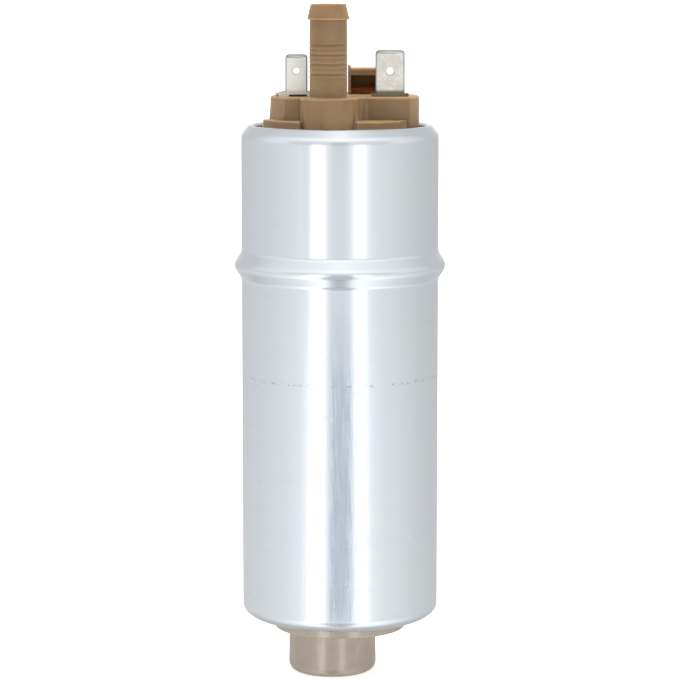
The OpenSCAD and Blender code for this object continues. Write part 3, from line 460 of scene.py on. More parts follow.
hoodSizes = {
    "width": 8.3,
    "depth": 6.8,
    "height": 5.7,
    "wall": 0.6,
    "roofWall": 1.5,
    "mouthRounding": 0.95,
    "roofRounding": 0.45,
    "left": 1.76,
    "mouth": 5.4,
    "slope": 2,
    "roomSlope": 3.2,
    "postRise": 0.7,
    "postProud": 0.02,
    "edge": 0.14,
    "edgeStart": 0.3,
}
nozzleSizes = {
    "x": -2.48,
    "y": -10,
    "radius": 4.025,
    "height": 20,
    "bore": 2.75,
    "mouthFlare": 0.3,
    "mouthDepth": 0.25,
    "mouthPast": 0.05,
    "barbRadius": 4.575,
    "barbHeight": 3.3,
    "barbGroove": 0.05,
    # The barb's rim, outwards from its radius and upwards from its foot
    "barbRim": ((-0.10, 0), (0, 0.06), (0, 0.14), (-0.13, 0.34)),
    "tipRadius": 3.8,
    "tipRounding": 0.2,
    "tipAngle": 15,
    "footHollow": 0.5,
    "footDip": 0.02,
    "ribs": 4,
    "ribStart": 5.4,
    "ribPitch": 2.07,
    "ribRise": 0.11,
    # A groove and over it a rib with a sloping top, as shares of the rise and heights from its crest
    "ribShape": ((0, -0.34), (-1, -0.30), (-1, -0.14), (1, -0.10), (1, 0), (0, 0.16)),
    "steps": 96,
}
bladeSizes = {
    "y": -4,
    "thickness": 0.8,
    "wideX": 10.8,
    "wideWidth": 6.3,
    "wideHeight": 10,
    "wideHole": 0.8,
    "narrowX": -9.4,
    "narrowWidth": 4.8,
    "narrowHeight": 9.1,
    "narrowHole": 0.7,
    "holeHeight": 5.5,
    "holeEdge": 0.14,
    "holeSteps": 48,
    "corner": 0.8,
    "coining": 0.32,
    "tip": 1.3,
    "tipShare": 0.45,
    "edge": 0.1,
    "seat": 0.03,
    "proud": 0.02,
    "tailWidth": 2.4,
    "tailLap": 0.3,
    "shoulderWidth": 8,
    "shoulderHeight": 0.7,
    "plateLeft": -14,
    "plateBend": -12.2,
    "plateDrop": 0.55,
    "plateRight": -6.2,
    "plateBack": -1,
    "plateHeight": 0.7,
    "smoothing": 32,
}
plateau = nozzleTop - nozzleSizes["height"]
flangeTop = plateau - coverSizes["height"]


def turnTo(side, radius):
    # The angle at which an arc has gone this far to one side
    return math.degrees(math.asin(side / radius))


def walledPlan():
    # The two lobes, the boss and the hollow beside the boss as one outline, anticlockwise from above
    s = coverSizes
    x, y = nozzleSizes["x"], nozzleSizes["y"]
    leftTurn = turnTo(s["leftFront"], s["leftRadius"])
    rightTurn = turnTo(s["rightFront"], s["rightRadius"])
    leftMeet = turnTo(-s["leftFront"] - y, s["bossRadius"])
    drop = -s["rightFront"] - s["bossHollow"] - y
    reach = s["bossRadius"] + s["bossHollow"]
    hollowX = x + math.sqrt(reach ** 2 - drop ** 2)
    swing = turnTo(drop, reach)
    stepRight = math.degrees(math.acos(x / s["rightRadius"]))
    stepLeft = math.degrees(math.acos(x / s["leftRadius"]))
    return (arcPoints((0, 0), s["leftRadius"], stepLeft, 180 + leftTurn, 44)
            + arcPoints((x, y), s["bossRadius"], 180 - leftMeet, 360 + swing, 44)
            + arcPoints((hollowX, y + drop), s["bossHollow"], 180 + swing, 90, 14)[1:]
            + arcPoints((0, 0), s["rightRadius"], -rightTurn, stepRight, 56))


def makeWalls():
    s = coverSizes
    walls = raised("walls", walledPlan(), flangeTop - s["overlap"], plateau)
    full, leaned = s["leftRadius"], s["leftRadius"] - s["leftLean"]
    front, stepX = s["leftFront"], nozzleSizes["x"]
    near = meshing["near"]

    def onRim(co):
        return co.z > plateau - meshing["level"] and math.hypot(co.x, co.y) > full - meshing["slack"]

    def leanIn(side):
        # How far the rim moves along a straight edge that stands this far to one side
        return math.sqrt(full ** 2 - side ** 2) - math.sqrt(leaned ** 2 - side ** 2)

    # The left lobe's wall leans in, and its two corners keep to the front and to the step
    share = leaned / full
    editVerts(walls, lambda co: onRim(co) and co.x < stepX - near and co.y > near - front)
    bpy.ops.transform.resize(value=(share, share, 1), center_override=(0, 0, plateau * mm))
    backToObject()
    editVerts(walls, lambda co: onRim(co) and co.x < stepX and abs(co.y + front) < near)
    bpy.ops.transform.translate(value=(leanIn(front) * mm, 0, 0))
    backToObject()
    editVerts(walls, lambda co: onRim(co) and abs(co.x - stepX) < near and 0 < co.y < full)
    bpy.ops.transform.translate(value=(0, -leanIn(stepX) * mm, 0))
    backToObject()
    bevelEdges(walls, topEdges(plateau), s["topRounding"], 6)
    return walls


def makeLedge():
    s = coverSizes
    top, foot = flangeTop + s["ledgeHeight"], flangeTop - s["overlap"]
    radius, edge, far = s["ledgeRadius"], s["ledgeEdge"], s["ledgeReach"]
    ledge = turned("ledge", [(0, foot), (radius, foot)]
                   + arcPoints((radius - edge, top - edge), edge, 0, 90, 4) + [(0, top)], s["steps"])
    # Each cut starts below the ledge and ends over it
    low, high = flangeTop - 2, top + 2
    x, y, boss = nozzleSizes["x"], nozzleSizes["y"], s["bossRadius"]
    combine(ledge, block("front", (x - boss, -far, low), (x + boss, y - boss / 2, high)), "DIFFERENCE")
    inner, outer = s["ledgeEnd"] - s["ledgeChamfer"], s["ledgeEnd"]
    right = [(inner, -far), (far, -far), (far, -s["rightFront"]), (outer, -s["rightFront"]),
             (inner, -s["ledgeSlope"] * radius)]
    combine(ledge, raised("cut", right, low, high), "DIFFERENCE")
    # The ledge ends beside the left lobe
    combine(ledge, block("rear", (-far, s["ledgeRear"], low), (x, far, high)), "DIFFERENCE")
    return ledge


def makeHood():
    s = hoodSizes
    sunk, level, slack = coverSizes["sunk"], meshing["level"], meshing["slack"]
    left, right = s["left"], s["left"] + s["width"]
    mouth, back, roof = s["mouth"], s["mouth"] + s["depth"], plateau + s["height"]
    hood = block("hood", (left, mouth, plateau - sunk), (right, back, roof))
    bevelEdges(hood, lambda a, b: topEdges(roof)(a, b) and min(a.y, b.y) > back - level, s["slope"], 1)
    bevelEdges(hood, lambda a, b: topEdges(roof)(a, b) and max(a.y, b.y) < mouth + level, s["roofRounding"])
    bevelSharp(hood, s["edge"], plateau + s["edgeStart"])
    # The post stands a hair in front of the hood's wall
    post = block("post", (left - s["postProud"], mouth - s["postProud"], plateau - sunk),
                 (left + s["wall"], mouth + s["wall"], roof + s["postRise"]))
    bevelSharp(post, s["edge"], plateau + s["edgeStart"])
    combine(hood, post)
    wall, ceiling, inBack = s["wall"], roof - s["roofWall"], back - s["wall"]
    room = block("room", (left + wall, mouth - sunk, plateau - 2 * sunk), (right - wall, inBack, ceiling))
    bevelEdges(room, lambda a, b: topEdges(ceiling)(a, b) and min(a.y, b.y) > inBack - level,
               s["roomSlope"], 1)
    combine(hood, room, "DIFFERENCE")

    def atMouth(a, b):
        return all(abs(v.z - ceiling) < slack and abs(v.y - mouth) < slack for v in (a, b))

    # The roof's lower edge at the mouth is well rounded
    bevelEdges(hood, atMouth, s["mouthRounding"], 5)
    return hood


def ribBump(height, share):
    s = nozzleSizes
    return [(s["radius"] + s["ribRise"] * share * out, height + up) for out, up in s["ribShape"]]


def makeNozzle():
    s = nozzleSizes
    low, barbFoot = plateau - coverSizes["sunk"], nozzleTop - s["barbHeight"]
    radius, hollow, rounding = s["radius"], s["footHollow"], s["tipRounding"]
    section = [(0, low), (radius + hollow, low)]
    section += arcPoints((radius + hollow, plateau + hollow - s["footDip"]), hollow, 270, 180, 6)
    for i in range(s["ribs"]):
        strong = plateau + s["ribStart"] + i * s["ribPitch"]
        section += ribBump(strong - s["ribPitch"] / 2, 0.5) + ribBump(strong, 1)
    section += [(radius - s["barbGroove"], barbFoot)]
    section += [(s["barbRadius"] + out, barbFoot + up) for out, up in s["barbRim"]]
    section += arcPoints((s["tipRadius"] - rounding, nozzleTop - rounding), rounding, s["tipAngle"], 90, 6)
    nozzle = turned("nozzle", section + [(0, nozzleTop)], s["steps"])
    shiftTo(nozzle, s["x"], s["y"])
    return nozzle


def makeOutletCover():
    s, n = coverSizes, nozzleSizes
    clear, past = meshing["clear"], meshing["level"]
    cover = copyNode("outlet_cover", "outletCover")
    seam, foot = flangeTop - s["seamDrop"], flangeTop - s["overlap"]
    combine(cover, block("above", (-clear, -clear, seam), (clear, clear, nozzleTop + 5)), "DIFFERENCE")
    # The can's lip stands over a gutter round the ledge
    low, inner, outer = seam - s["gutterDepth"], s["ledgeRadius"] + s["gutterGap"], s["gutterRadius"]
    ring = [(inner, low), (outer, low), (outer, seam + 1), (inner, seam + 1), (inner, low)]
    combine(cover, turned("gutter", ring, s["steps"]), "DIFFERENCE")
    for makePart in (makeLedge, makeWalls, makeHood, makeNozzle):
        combine(cover, makePart())
    halfWidth, halfDepth, y = s["plinthWidth"] / 2, s["plinthDepth"] / 2, bladeSizes["y"] + s["plinthShift"]
    combine(cover, block("plinth", (s["plinthX"] - halfWidth, y - halfDepth, plateau - s["sunk"]),
                         (s["plinthX"] + halfWidth, y + halfDepth, plateau + s["plinthRise"])))
    # The waterway from the check valve's bore to the nozzle's mouth, and the relief valve's bore
    check, shelf = s["checkRadius"] + s["checkPlay"], plateau - s["checkDrop"]
    bore, flare = n["bore"], n["bore"] + n["mouthFlare"]
    waterway = turned("waterway", [
        (0, foot - past), (check, foot - past), (check, shelf), (bore, shelf),
        (bore, nozzleTop - n["mouthDepth"]), (flare, nozzleTop + n["mouthPast"]),
        (flare, nozzleTop + 1), (0, nozzleTop + 1)], 64)
    shiftTo(waterway, n["x"], n["y"])
    combine(cover, waterway, "DIFFERENCE")
    radius, top = s["reliefRadius"] + s["reliefPlay"], plateau + 2 * past
    relief = turned("relief", [(0, foot - past), (radius, foot - past), (radius, top), (0, top)], 48)
    shiftTo(relief, s["reliefX"], s["reliefY"])
    combine(cover, relief, "DIFFERENCE")
    halfWidth, halfDepth, y = s["slotWidth"] / 2, s["slotDepth"] / 2, bladeSizes["y"]
    for middle in (-s["slotX"], s["slotX"]):
        slot = block("slot", (middle - halfWidth, y - halfDepth, foot - past),
                     (middle + halfWidth, y + halfDepth, plateau + 1))
        combine(cover, slot, "DIFFERENCE")
    closeMesh(cover)
    smoothBy(cover, s["smoothing"])
    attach(cover, "pump_body")
    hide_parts("outlet_cover")
    return cover


outletCover = makeOutletCover()
print("outlet cover made")


# The inlet cover

inletSizes = {
    "x": -1.68,
    "radius": 9.6,
    "height": 10,
    "rounding": 2,
    "bore": 5.5,
    "boreHeight": 12,
    "boreFlare": 0.4,
    "chamberRadius": 8.2,
    "chamberPlay": 0.05,
    "chamberPast": 0.25,
    "flangeRadius": 14.55,
    "flangeEdge": 0.5,
    "flangeStep": 0.1,
    "seam": 13.2,
    "steps": 160,
    "smoothing": 32,
}


def makeInletCover():
    s = inletSizes
    clear, seam, height = meshing["clear"], s["seam"], s["height"]
    cover = copyNode("inlet_cover", "inletCover")
    combine(cover, block("below", (-clear, -clear, neckFoot - 5), (clear, clear, seam)), "DIFFERENCE")
    radius, rounding = s["radius"], s["rounding"]
    neck = turned("neck", [(0, neckFoot), (radius - rounding, neckFoot)]
                  + arcPoints((radius - rounding, neckFoot + rounding), rounding, -90, 0, 12)[1:]
                  + [(radius, height + 1), (0, height + 1)], s["steps"])
    shiftTo(neck, s["x"])
    radius, edge, step = s["flangeRadius"], s["flangeEdge"], s["flangeStep"]
    flange = turned("flange", [(0, height)] + arcPoints((radius - edge, height + edge), edge, -90, 0, 6)
                    + [(radius, seam - 2 * step), (radius - step, seam - step),
                       (radius - step, seam + 2 * step), (0, seam + 2 * step)], s["steps"])
    combine(neck, flange)
    combine(cover, neck)
    bore, flare, chamber = s["bore"], s["boreFlare"], s["chamberRadius"] + s["chamberPlay"]
    waterway = turned("waterway", [
        (0, -1), (bore + flare, -1), (bore + flare, 0), (bore, flare), (bore, s["boreHeight"]),
        (chamber, s["boreHeight"]), (chamber, seam + s["chamberPast"]), (0, seam + s["chamberPast"])], 96)
    shiftTo(waterway, s["x"])
    combine(cover, waterway, "DIFFERENCE")
    closeMesh(cover)
    smoothBy(cover, s["smoothing"])
    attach(cover, "pump_body")
    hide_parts("inlet_cover")
    return cover


inletCover = makeInletCover()
print("inlet cover made")


# The terminals

def makeBlade(name, x, width, height, hole, foot):
    # An upright outline, extruded by the strip's thickness, with coined edges and a thinner tip
    s = bladeSizes
    top, half, corner = plateau + height, width / 2, s["corner"]
    front, near = s["y"] - s["thickness"] / 2, meshing["near"]
    outline = ([(x - half, foot), (x + half, foot)]
               + arcPoints((x + half - corner, top - corner), corner, 0, 90, 4)
               + arcPoints((x - half + corner, top - corner), corner, 90, 180, 4))
    blade = drawOutline(name, [Vector((across, front, up)) for across, up in outline])
    bpy.ops.mesh.select_all(action="SELECT")
    bpy.ops.mesh.edge_face_add()
    bpy.ops.mesh.extrude_region_move(TRANSFORM_OT_translate={"value": (0, s["thickness"] * mm, 0)})
    bpy.ops.mesh.select_all(action="SELECT")
    bpy.ops.mesh.normals_make_consistent(inside=False)
    backToObject()
    bevelEdges(blade, lambda a, b: abs(a.y - b.y) < near and max(a.z, b.z) > foot + near, s["coining"], 2)
    editVerts(blade)
    bpy.ops.mesh.bisect(plane_co=(0, 0, (top - s["tip"]) * mm), plane_no=(0, 0, 1))
    backToObject()
    editVerts(blade, lambda co: co.z > top - s["coining"] - meshing["slack"])
    bpy.ops.transform.resize(value=(1, s["tipShare"], 1), center_override=(x * mm, s["y"] * mm, top * mm))
    backToObject()
    # The detent hole, with eased rims
    holeUp = plateau + s["holeHeight"]
    deselectAll()
    bpy.ops.mesh.primitive_cylinder_add(
        vertices=s["holeSteps"], radius=hole * mm, depth=4 * mm,
        location=(x * mm, s["y"] * mm, holeUp * mm), rotation=(math.pi / 2, 0, 0))
    drill = bpy.context.object
    bpy.ops.object.transform_apply(location=True, rotation=True, scale=True)
    combine(blade, drill, "DIFFERENCE")

    def onRim(a, b):
        reach = max(math.hypot(v.x - x, v.z - holeUp) for v in (a, b))
        return reach < hole + 2 * near and abs(a.y - b.y) < near

    bevelEdges(blade, onRim, s["holeEdge"], 2)
    return blade


def makeStrip(name, left, right, low, high, proud=0):
    # A flat piece as thick as the blade, in the blade's plane
    half = bladeSizes["thickness"] / 2 + proud
    return block(name, (left, bladeSizes["y"] - half, low), (right, bladeSizes["y"] + half, high))


def makeTail(side, node, foot):
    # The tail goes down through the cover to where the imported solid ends
    middle, half = side * coverSizes["slotX"], bladeSizes["tailWidth"] / 2
    low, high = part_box(node)[0].z / mm, foot + bladeSizes["tailLap"]
    return makeStrip("tail", middle - half, middle + half, low, high)


def finishTerminal(terminal, node):
    bevelSharp(terminal, bladeSizes["edge"], plateau)
    smoothBy(terminal, bladeSizes["smoothing"])
    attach(terminal, "pump_body")
    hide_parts(node)
    return terminal


def makeWideTerminal():
    s = bladeSizes
    foot, half = plateau + s["seat"], s["shoulderWidth"] / 2
    blade = makeBlade("wideTerminal", s["wideX"], s["wideWidth"], s["wideHeight"], s["wideHole"], foot)
    shoulder = makeStrip("shoulder", s["wideX"] - half, s["wideX"] + half, foot, foot + s["shoulderHeight"],
                         s["proud"])
    combine(blade, shoulder)
    combine(blade, makeTail(1, "wide_terminal", foot))
    return finishTerminal(blade, "wide_terminal")


def makeNarrowTerminal():
    s = bladeSizes
    foot, level = plateau + coverSizes["plinthRise"] + s["seat"], meshing["level"]
    blade = makeBlade("narrowTerminal", s["narrowX"], s["narrowWidth"], s["narrowHeight"], s["narrowHole"],
                      foot)
    plate = block("plate", (s["plateLeft"], s["y"] - s["thickness"] / 2 - s["proud"], foot),
                  (s["plateRight"], s["plateBack"], foot + s["plateHeight"]))
    # The plate's free end is drawn down
    editVerts(plate)
    bpy.ops.mesh.bisect(plane_co=(s["plateBend"] * mm, 0, 0), plane_no=(1, 0, 0))
    backToObject()
    editVerts(plate, lambda co: co.x < s["plateBend"] - level and co.z > foot + level)
    bpy.ops.transform.translate(value=(0, 0, -s["plateDrop"] * mm))
    backToObject()
    combine(blade, plate)
    combine(blade, makeTail(-1, "narrow_terminal", foot))
    return finishTerminal(blade, "narrow_terminal")


wideTerminal = makeWideTerminal()
narrowTerminal = makeNarrowTerminal()
print("terminals made")


# The springs and the brush leads

wireSizes = {
    "brushEnd": (10.3, -1.0, 105.3),
    "chokeEnd": (12.2, -3.3, 104.66),
    "smoothing": 40,
}


def camelName(node):
    first, *others = node.split("_")
    return first + "".join(word.capitalize() for word in others)


def makeSpring(node, joint):
    # The spring's copied mesh, smoothed and carried by the joint's parent body
    spring = copyNode(node, camelName(node))
    smoothBy(spring, wireSizes["smoothing"])
    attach(spring, joint["parent"])
    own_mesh(spring)
    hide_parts(node)
    return spring


def makeLead(node):
    # The lead's copied mesh, smoothed, with its place baked in
    lead = copyNode(node, camelName(node))
    smoothBy(lead, wireSizes["smoothing"])
    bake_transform(lead)
    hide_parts(node)
    return lead


springWires = []
leadBraids = []
for joint in frame["record"]["behaviour"]["joints"]:
    for fold in joint.get("deforming_nodes", []):
        if fold["node"].endswith("spring"):
            springWires.append(makeSpring(fold["node"], joint))
        else:
            leadBraids.append(makeLead(fold["node"]))
print("springs and leads made")


# The stage

camera = {
    "lens": 158,
    "sensor": 36,
    "place": (0, -0.650, 0.160),
    "tilt": 82.45,
    "nearest": 0.01,
    "farthest": 100,
}


def setCamera():
    deselectAll()
    bpy.ops.object.camera_add(location=camera["place"], rotation=(math.radians(camera["tilt"]), 0, 0))
    view = bpy.context.object
    view.name = "studioCamera"
    view.data.lens = camera["lens"]
    view.data.sensor_width = camera["sensor"]
    view.data.clip_start = camera["nearest"]
    view.data.clip_end = camera["farthest"]
    scene.camera = view


# Brightness of the studio by compass angle from the camera's side, in degrees, towards +X
studioLevel = {  # Level with the pump: two tall soft boxes and a gap between them
    -180: 0.56, -140: 0.61, -98: 0.67, -69: 0.73, -53: 0.79, -44: 0.84, -37: 0.98, -28: 1.60,
    -20: 1.35, -14: 0.84, -8: 0.77, 0: 0.75, 6: 0.76, 12: 0.86, 18: 1.20, 25: 1.50,
    32: 0.92, 40: 0.82, 50: 0.77, 66: 0.72, 84: 0.66, 105: 0.60, 135: 0.56, 180: 0.54,
}
studioBelow = {  # The soft boxes' wide feet
    -180: 0.40, -120: 0.56, -90: 0.74, -66: 0.88, -45: 1.12, -33: 1.30, -26: 1.14, -18: 0.66, -6: 0.46,
    5: 0.46, 15: 0.66, 24: 1.12, 45: 1.12, 70: 0.90, 90: 0.74, 120: 0.56, 180: 0.40,
}
studioAbove = {  # The open room, with a bright wall behind
    -180: 0.92, -155: 0.62, -125: 0.60, -98: 0.76, -45: 0.98, 0: 1.12, 45: 0.98, 98: 0.72, 125: 0.58,
    155: 0.60, 180: 0.92,
}
studioFill = {  # Plain light that shades the mouldings, from each side
    "front": 0.25,
    "left": 0.46,
    "right": 0.78,
    "back": 0.45,
    "above": 1.15,
}
# Where one part of the studio gives way to the next, from and to. A height is 1 straight up and -1 straight
# down, a compass angle is in radians, and a third and a fourth number are the values at the two ends.
studioShape = {
    "spread": (-0.12, -0.22, 1.0, 0.9),
    "lowGain": (-0.06, -0.2, 1.0, 1.06),
    "flankOuter": (-0.80, -0.68),
    "flankInner": (-0.50, -0.58),
    "flankHeight": (-0.15, -0.10, 0.0, 0.17),
    "feet": (-0.26, -0.62),
    "nadir": (-0.93, -0.98),
    "nadirLevel": 0.64,
    "zenith": (0.72, 0.92, 0.0, 0.09),
    "duskLow": (0.04, 0.20, 0.66, 0.86),
    "duskHigh": (0.20, 0.50, 1.0, 1.15),
    "duskEnd": (0.75, 1.35),
    "duskSides": 0.98,
    "horizon": (-0.03, 0.03),
    "spotLeft": (-0.22, -0.10),
    "spotRight": (0.22, 0.10),
    "spotFoot": (-0.07, -0.01),
    "spotTop": (0.20, 0.08),
    "spotShare": 0.30,
    "spotLevel": 0.25,
    "fillSide": (0.2, 0.95),
    "fillAbove": (0.1, 0.9),
    "colour": (0.985, 0.995, 1.0, 1),
}


def angleRamp(tree, share, brightness):
    # A ramp round the compass, whose stops are shares of the strongest brightness
    ramp = addNode(tree, "ValToRGB", {0: share})
    stops = ramp.color_ramp.elements
    while len(stops) > 1:
        stops.remove(stops[-1])
    strongest = max(brightness.values())
    for i, (angle, bright) in enumerate(sorted(brightness.items())):
        stop = stops[0] if i == 0 else stops.new(angle / 360 + 0.5)
        stop.position = angle / 360 + 0.5
        stop.color = (bright / strongest,) * 3 + (1,)
    return calc(tree, "MULTIPLY", ramp.outputs[0], strongest)


def makeMirrored(tree, rise, compass):
    # What the metal mirrors
    s = studioShape
    # The soft boxes stand a little wider apart lower down
    turn = calc(tree, "MULTIPLY", compass, between(tree, rise, *s["spread"]))
    share = calc(tree, "ADD", calc(tree, "DIVIDE", turn, 2 * math.pi), 0.5)
    level = calc(tree, "MULTIPLY", angleRamp(tree, share, studioLevel), between(tree, rise, *s["lowGain"]))
    # The left one is cut narrower at its top
    flank = calc(tree, "MULTIPLY", between(tree, compass, *s["flankOuter"]),
                 between(tree, compass, *s["flankInner"]), between(tree, rise, *s["flankHeight"]))
    level = calc(tree, "MULTIPLY", level, calc(tree, "SUBTRACT", 1.0, flank))
    bright = blend(tree, between(tree, rise, *s["feet"]), level, angleRamp(tree, share, studioBelow))
    bright = blend(tree, between(tree, rise, *s["nadir"]), bright, s["nadirLevel"])
    above = calc(tree, "SUBTRACT", angleRamp(tree, share, studioAbove), between(tree, rise, *s["zenith"]))
    # The room in front is dimmer just above the horizon
    dusk = calc(tree, "MULTIPLY", between(tree, rise, *s["duskLow"]), between(tree, rise, *s["duskHigh"]))
    aside = between(tree, calc(tree, "ABSOLUTE", compass), *s["duskEnd"])
    above = calc(tree, "MULTIPLY", above, blend(tree, aside, dusk, s["duskSides"]))
    bright = blend(tree, between(tree, rise, *s["horizon"]), bright, above)
    # Something dark and small stands level in front
    spot = calc(tree, "MULTIPLY",
                between(tree, compass, *s["spotLeft"]), between(tree, compass, *s["spotRight"]),
                between(tree, rise, *s["spotFoot"]), between(tree, rise, *s["spotTop"]), s["spotShare"])
    return blend(tree, spot, bright, s["spotLevel"])


def makeFill(tree, way, rise):
    # The light that falls on what isn't a mirror
    s = studioFill
    low, high = studioShape["fillSide"]
    left = between(tree, way[0], -low, -high, s["front"], s["left"])
    right = between(tree, way[0], low, high, s["front"], s["right"])
    back = between(tree, way[1], low, high, s["front"], s["back"])
    sides = calc(tree, "MAXIMUM", left, right, back)
    return blend(tree, between(tree, rise, *studioShape["fillAbove"]), sides, s["above"])


def makeWorld():
    world = bpy.data.worlds.new("softStudio")
    scene.world = world
    world.use_nodes = True
    tree = world.node_tree
    tree.nodes.clear()
    way = addNode(tree, "SeparateXYZ", {0: addNode(tree, "TexCoord").outputs["Generated"]}).outputs
    rise = way[2]
    compass = calc(tree, "ARCTAN2", way[0], calc(tree, "MULTIPLY", way[1], -1.0))
    rays = addNode(tree, "LightPath").outputs
    bright = blend(tree, rays["Is Diffuse Ray"], makeMirrored(tree, rise, compass), makeFill(tree, way, rise))
    bright = calc(tree, "MAXIMUM", bright, rays["Is Camera Ray"])
    back = addNode(tree, "Background", {"Color": studioShape["colour"], "Strength": bright})
    tree.links.new(back.outputs[0], addNode(tree, "OutputWorld").inputs["Surface"])


paleFloor = {
    "size": 24,
    "colour": (0.8, 0.8, 0.8, 1),
    "roughness": 0.8,
    "glow": (1, 1, 1, 1),
    "power": 0.62,
}
dimCard = {
    "near": 0.085,
    "far": 0.56,
    "left": 0.195,
    "right": 0.235,
    "height": 0.0005,
    "colour": (0.925, 0.985, 1.09, 1),
    "power": 0.57,
}
softLamp = {
    "place": (0.02, 0.0, 0.80),
    "aim": (0, 0, 0.12),
    "size": 0.50,
    "power": 6,
    "colour": (1.0, 0.985, 0.96),
}


def addPlane(name, size, paintName, plain):
    deselectAll()
    bpy.ops.mesh.primitive_plane_add(size=size, location=(0, 0, 0))
    plane = bpy.context.object
    plane.name = name
    paint = bpy.data.materials.new(paintName)
    paint.use_nodes = True
    setPlain(paint.node_tree.nodes["Principled BSDF"], plain)
    plane.data.materials.append(paint)
    plane.visible_shadow = False
    return plane


def makeFloor():
    s = paleFloor
    floor = addPlane("studioFloor", s["size"], "paleFloor", {
        "Base Color": s["colour"], "Roughness": s["roughness"],
        "Emission Color": s["glow"], "Emission Strength": s["power"]})
    # The can mirrors the soft boxes, and not the floor
    floor.visible_glossy = False


def makeCard():
    # A dim card lies in front and shows only in what mirrors it
    s = dimCard
    card = addPlane("dimCard", 1, "dimPaint", {
        "Base Color": (0, 0, 0, 1), "Specular IOR Level": 0,
        "Emission Color": s["colour"], "Emission Strength": s["power"]})
    for corner in card.data.vertices:
        away = s["far"] if corner.co.y < 0 else s["near"]
        across = s["right"] if corner.co.x > 0 else -s["left"]
        corner.co = Vector((away * across, -away, s["height"]))
    card.visible_camera = False
    card.visible_diffuse = False


def makeLamp():
    # A soft lamp overhead that shades the mouldings and isn't mirrored in the can
    s = softLamp
    deselectAll()
    bpy.ops.object.light_add(type="AREA", location=s["place"])
    light = bpy.context.object
    light.name = "softLamp"
    light.data.shape = "DISK"
    light.data.size = s["size"]
    light.data.energy = s["power"]
    light.data.color = s["colour"]
    light.rotation_euler = (Vector(s["place"]) - Vector(s["aim"])).to_track_quat("Z", "Y").to_euler()
    light.visible_glossy = False


setCamera()
makeWorld()
makeFloor()
makeCard()
makeLamp()
scene.view_settings.view_transform = "Standard"
print("stage set")


# Shared effects. Each reads places in millimetres and puts out masks from 0 to 1

def makeGrainEffect():
    # Fine grain and wide blotches
    group, given, put = newGroup("surfaceGrain", [("Fine", "Float", 3.0), ("Wide", "Float", 0.2)],
                                 [("Grain", "Float"), ("Blotch", "Float")])
    fine = addNode(group, "TexNoise", {"Vector": given[0], "Scale": given[1], "Detail": 4.0,
                                       "Roughness": 0.6})
    wide = addNode(group, "TexNoise", {"Vector": given[0], "Scale": given[2], "Detail": 3.0,
                                       "Distortion": 0.4})
    group.links.new(between(group, fine.outputs[0], 0.3, 0.7), put[0])
    group.links.new(between(group, wide.outputs[0], 0.35, 0.65), put[1])
    return group


def makeWearEffect():
    # Edges, where a rounded normal turns away from the face's own. The inner parts wear there; on the can's
    # lip and the outlet cover's rims the mask lays wear and a painted highlight, and on the terminals a
    # painted dark reflection
    group, given, put = newGroup("wornEdges", [("Width", "Float", 0.0002), ("Chips", "Float", 1.2)],
                                 [("Mask", "Float")])
    rounded = addNode(group, "Bevel", {"Radius": given[1]}, samples=6)
    face = addNode(group, "NewGeometry")
    turn = addNode(group, "VectorMath", {0: rounded.outputs[0], 1: face.outputs["Normal"]},
                   operation="DOT_PRODUCT").outputs["Value"]
    chips = addNode(group, "TexNoise", {"Vector": given[0], "Scale": given[2], "Detail": 5.0}).outputs[0]
    edge = between(group, turn, 0.98, 0.82)
    broken = between(group, chips, 0.3, 0.6, 0.35, 1.0)
    group.links.new(calc(group, "MULTIPLY", edge, broken), put[0])
    return group


def stretch(tree, place, x, y, z):
    # A pattern's places, more of them to the millimetre where a number is higher
    size = addNode(tree, "CombineXYZ", {0: x, 1: y, 2: z}).outputs[0]
    return addNode(tree, "VectorMath", {0: place, 1: size}, operation="MULTIPLY").outputs[0]


def makeStreakEffect():
    # Drawn streaks along the upright axis
    group, given, put = newGroup("drawnStreaks", [("Across", "Float", 3.0), ("Along", "Float", 0.25)],
                                 [("Streak", "Float")])
    drawn = stretch(group, given[0], given[1], given[1], given[2])
    noise = addNode(group, "TexNoise", {"Vector": drawn, "Scale": 1.0, "Detail": 5.0, "Roughness": 0.65})
    group.links.new(between(group, noise.outputs[0], 0.32, 0.68), put[0])
    return group


def makeScratchEffect():
    # Sparse thin scratches that lean either way
    group, given, put = newGroup("thinScratches", [("Spread", "Float", 0.5), ("Amount", "Float", 0.5)],
                                 [("Mask", "Float")])
    masks = []
    for turn in (0.5, -0.9):
        leaned = addNode(group, "Mapping", {"Vector": given[0], "Rotation": (0.3, turn, turn)}).outputs[0]
        pulled = stretch(group, leaned, calc(group, "MULTIPLY", given[1], 9.0), given[1], given[1])
        noise = addNode(group, "TexNoise", {"Vector": pulled, "Scale": 1.0, "Detail": 2.0})
        masks.append(between(group, noise.outputs[0], 0.66, 0.74))
    group.links.new(calc(group, "MULTIPLY", calc(group, "MAXIMUM", *masks), given[2]), put[0])
    return group


surfaceGrain = makeGrainEffect()
wornEdges = makeWearEffect()
drawnStreaks = makeStreakEffect()
thinScratches = makeScratchEffect()
print("shared effects made")


# Finishes

def newMaterial(name, plain):
    material = bpy.data.materials.new(name)
    material.use_nodes = True
    tree = material.node_tree
    shader = tree.nodes["Principled BSDF"]
    setPlain(shader, plain)
    # The surface's own coordinates in millimetres
    place = addNode(tree, "Mapping", {"Vector": addNode(tree, "TexCoord").outputs["Object"],
                                      "Scale": (1 / mm, 1 / mm, 1 / mm)}).outputs[0]
    return material, tree, shader, place


def coat(tree, colour, mask, share, over):
    # Lays another colour over a share of what the mask covers
    return mixColour(tree, calc(tree, "MULTIPLY", mask, share), colour, over)


def addBump(tree, shader, height, distance):
    bump = addNode(tree, "Bump", {"Height": height, "Distance": distance * mm, "Strength": 1.0})
    tree.links.new(bump.outputs[0], shader.inputs["Normal"])


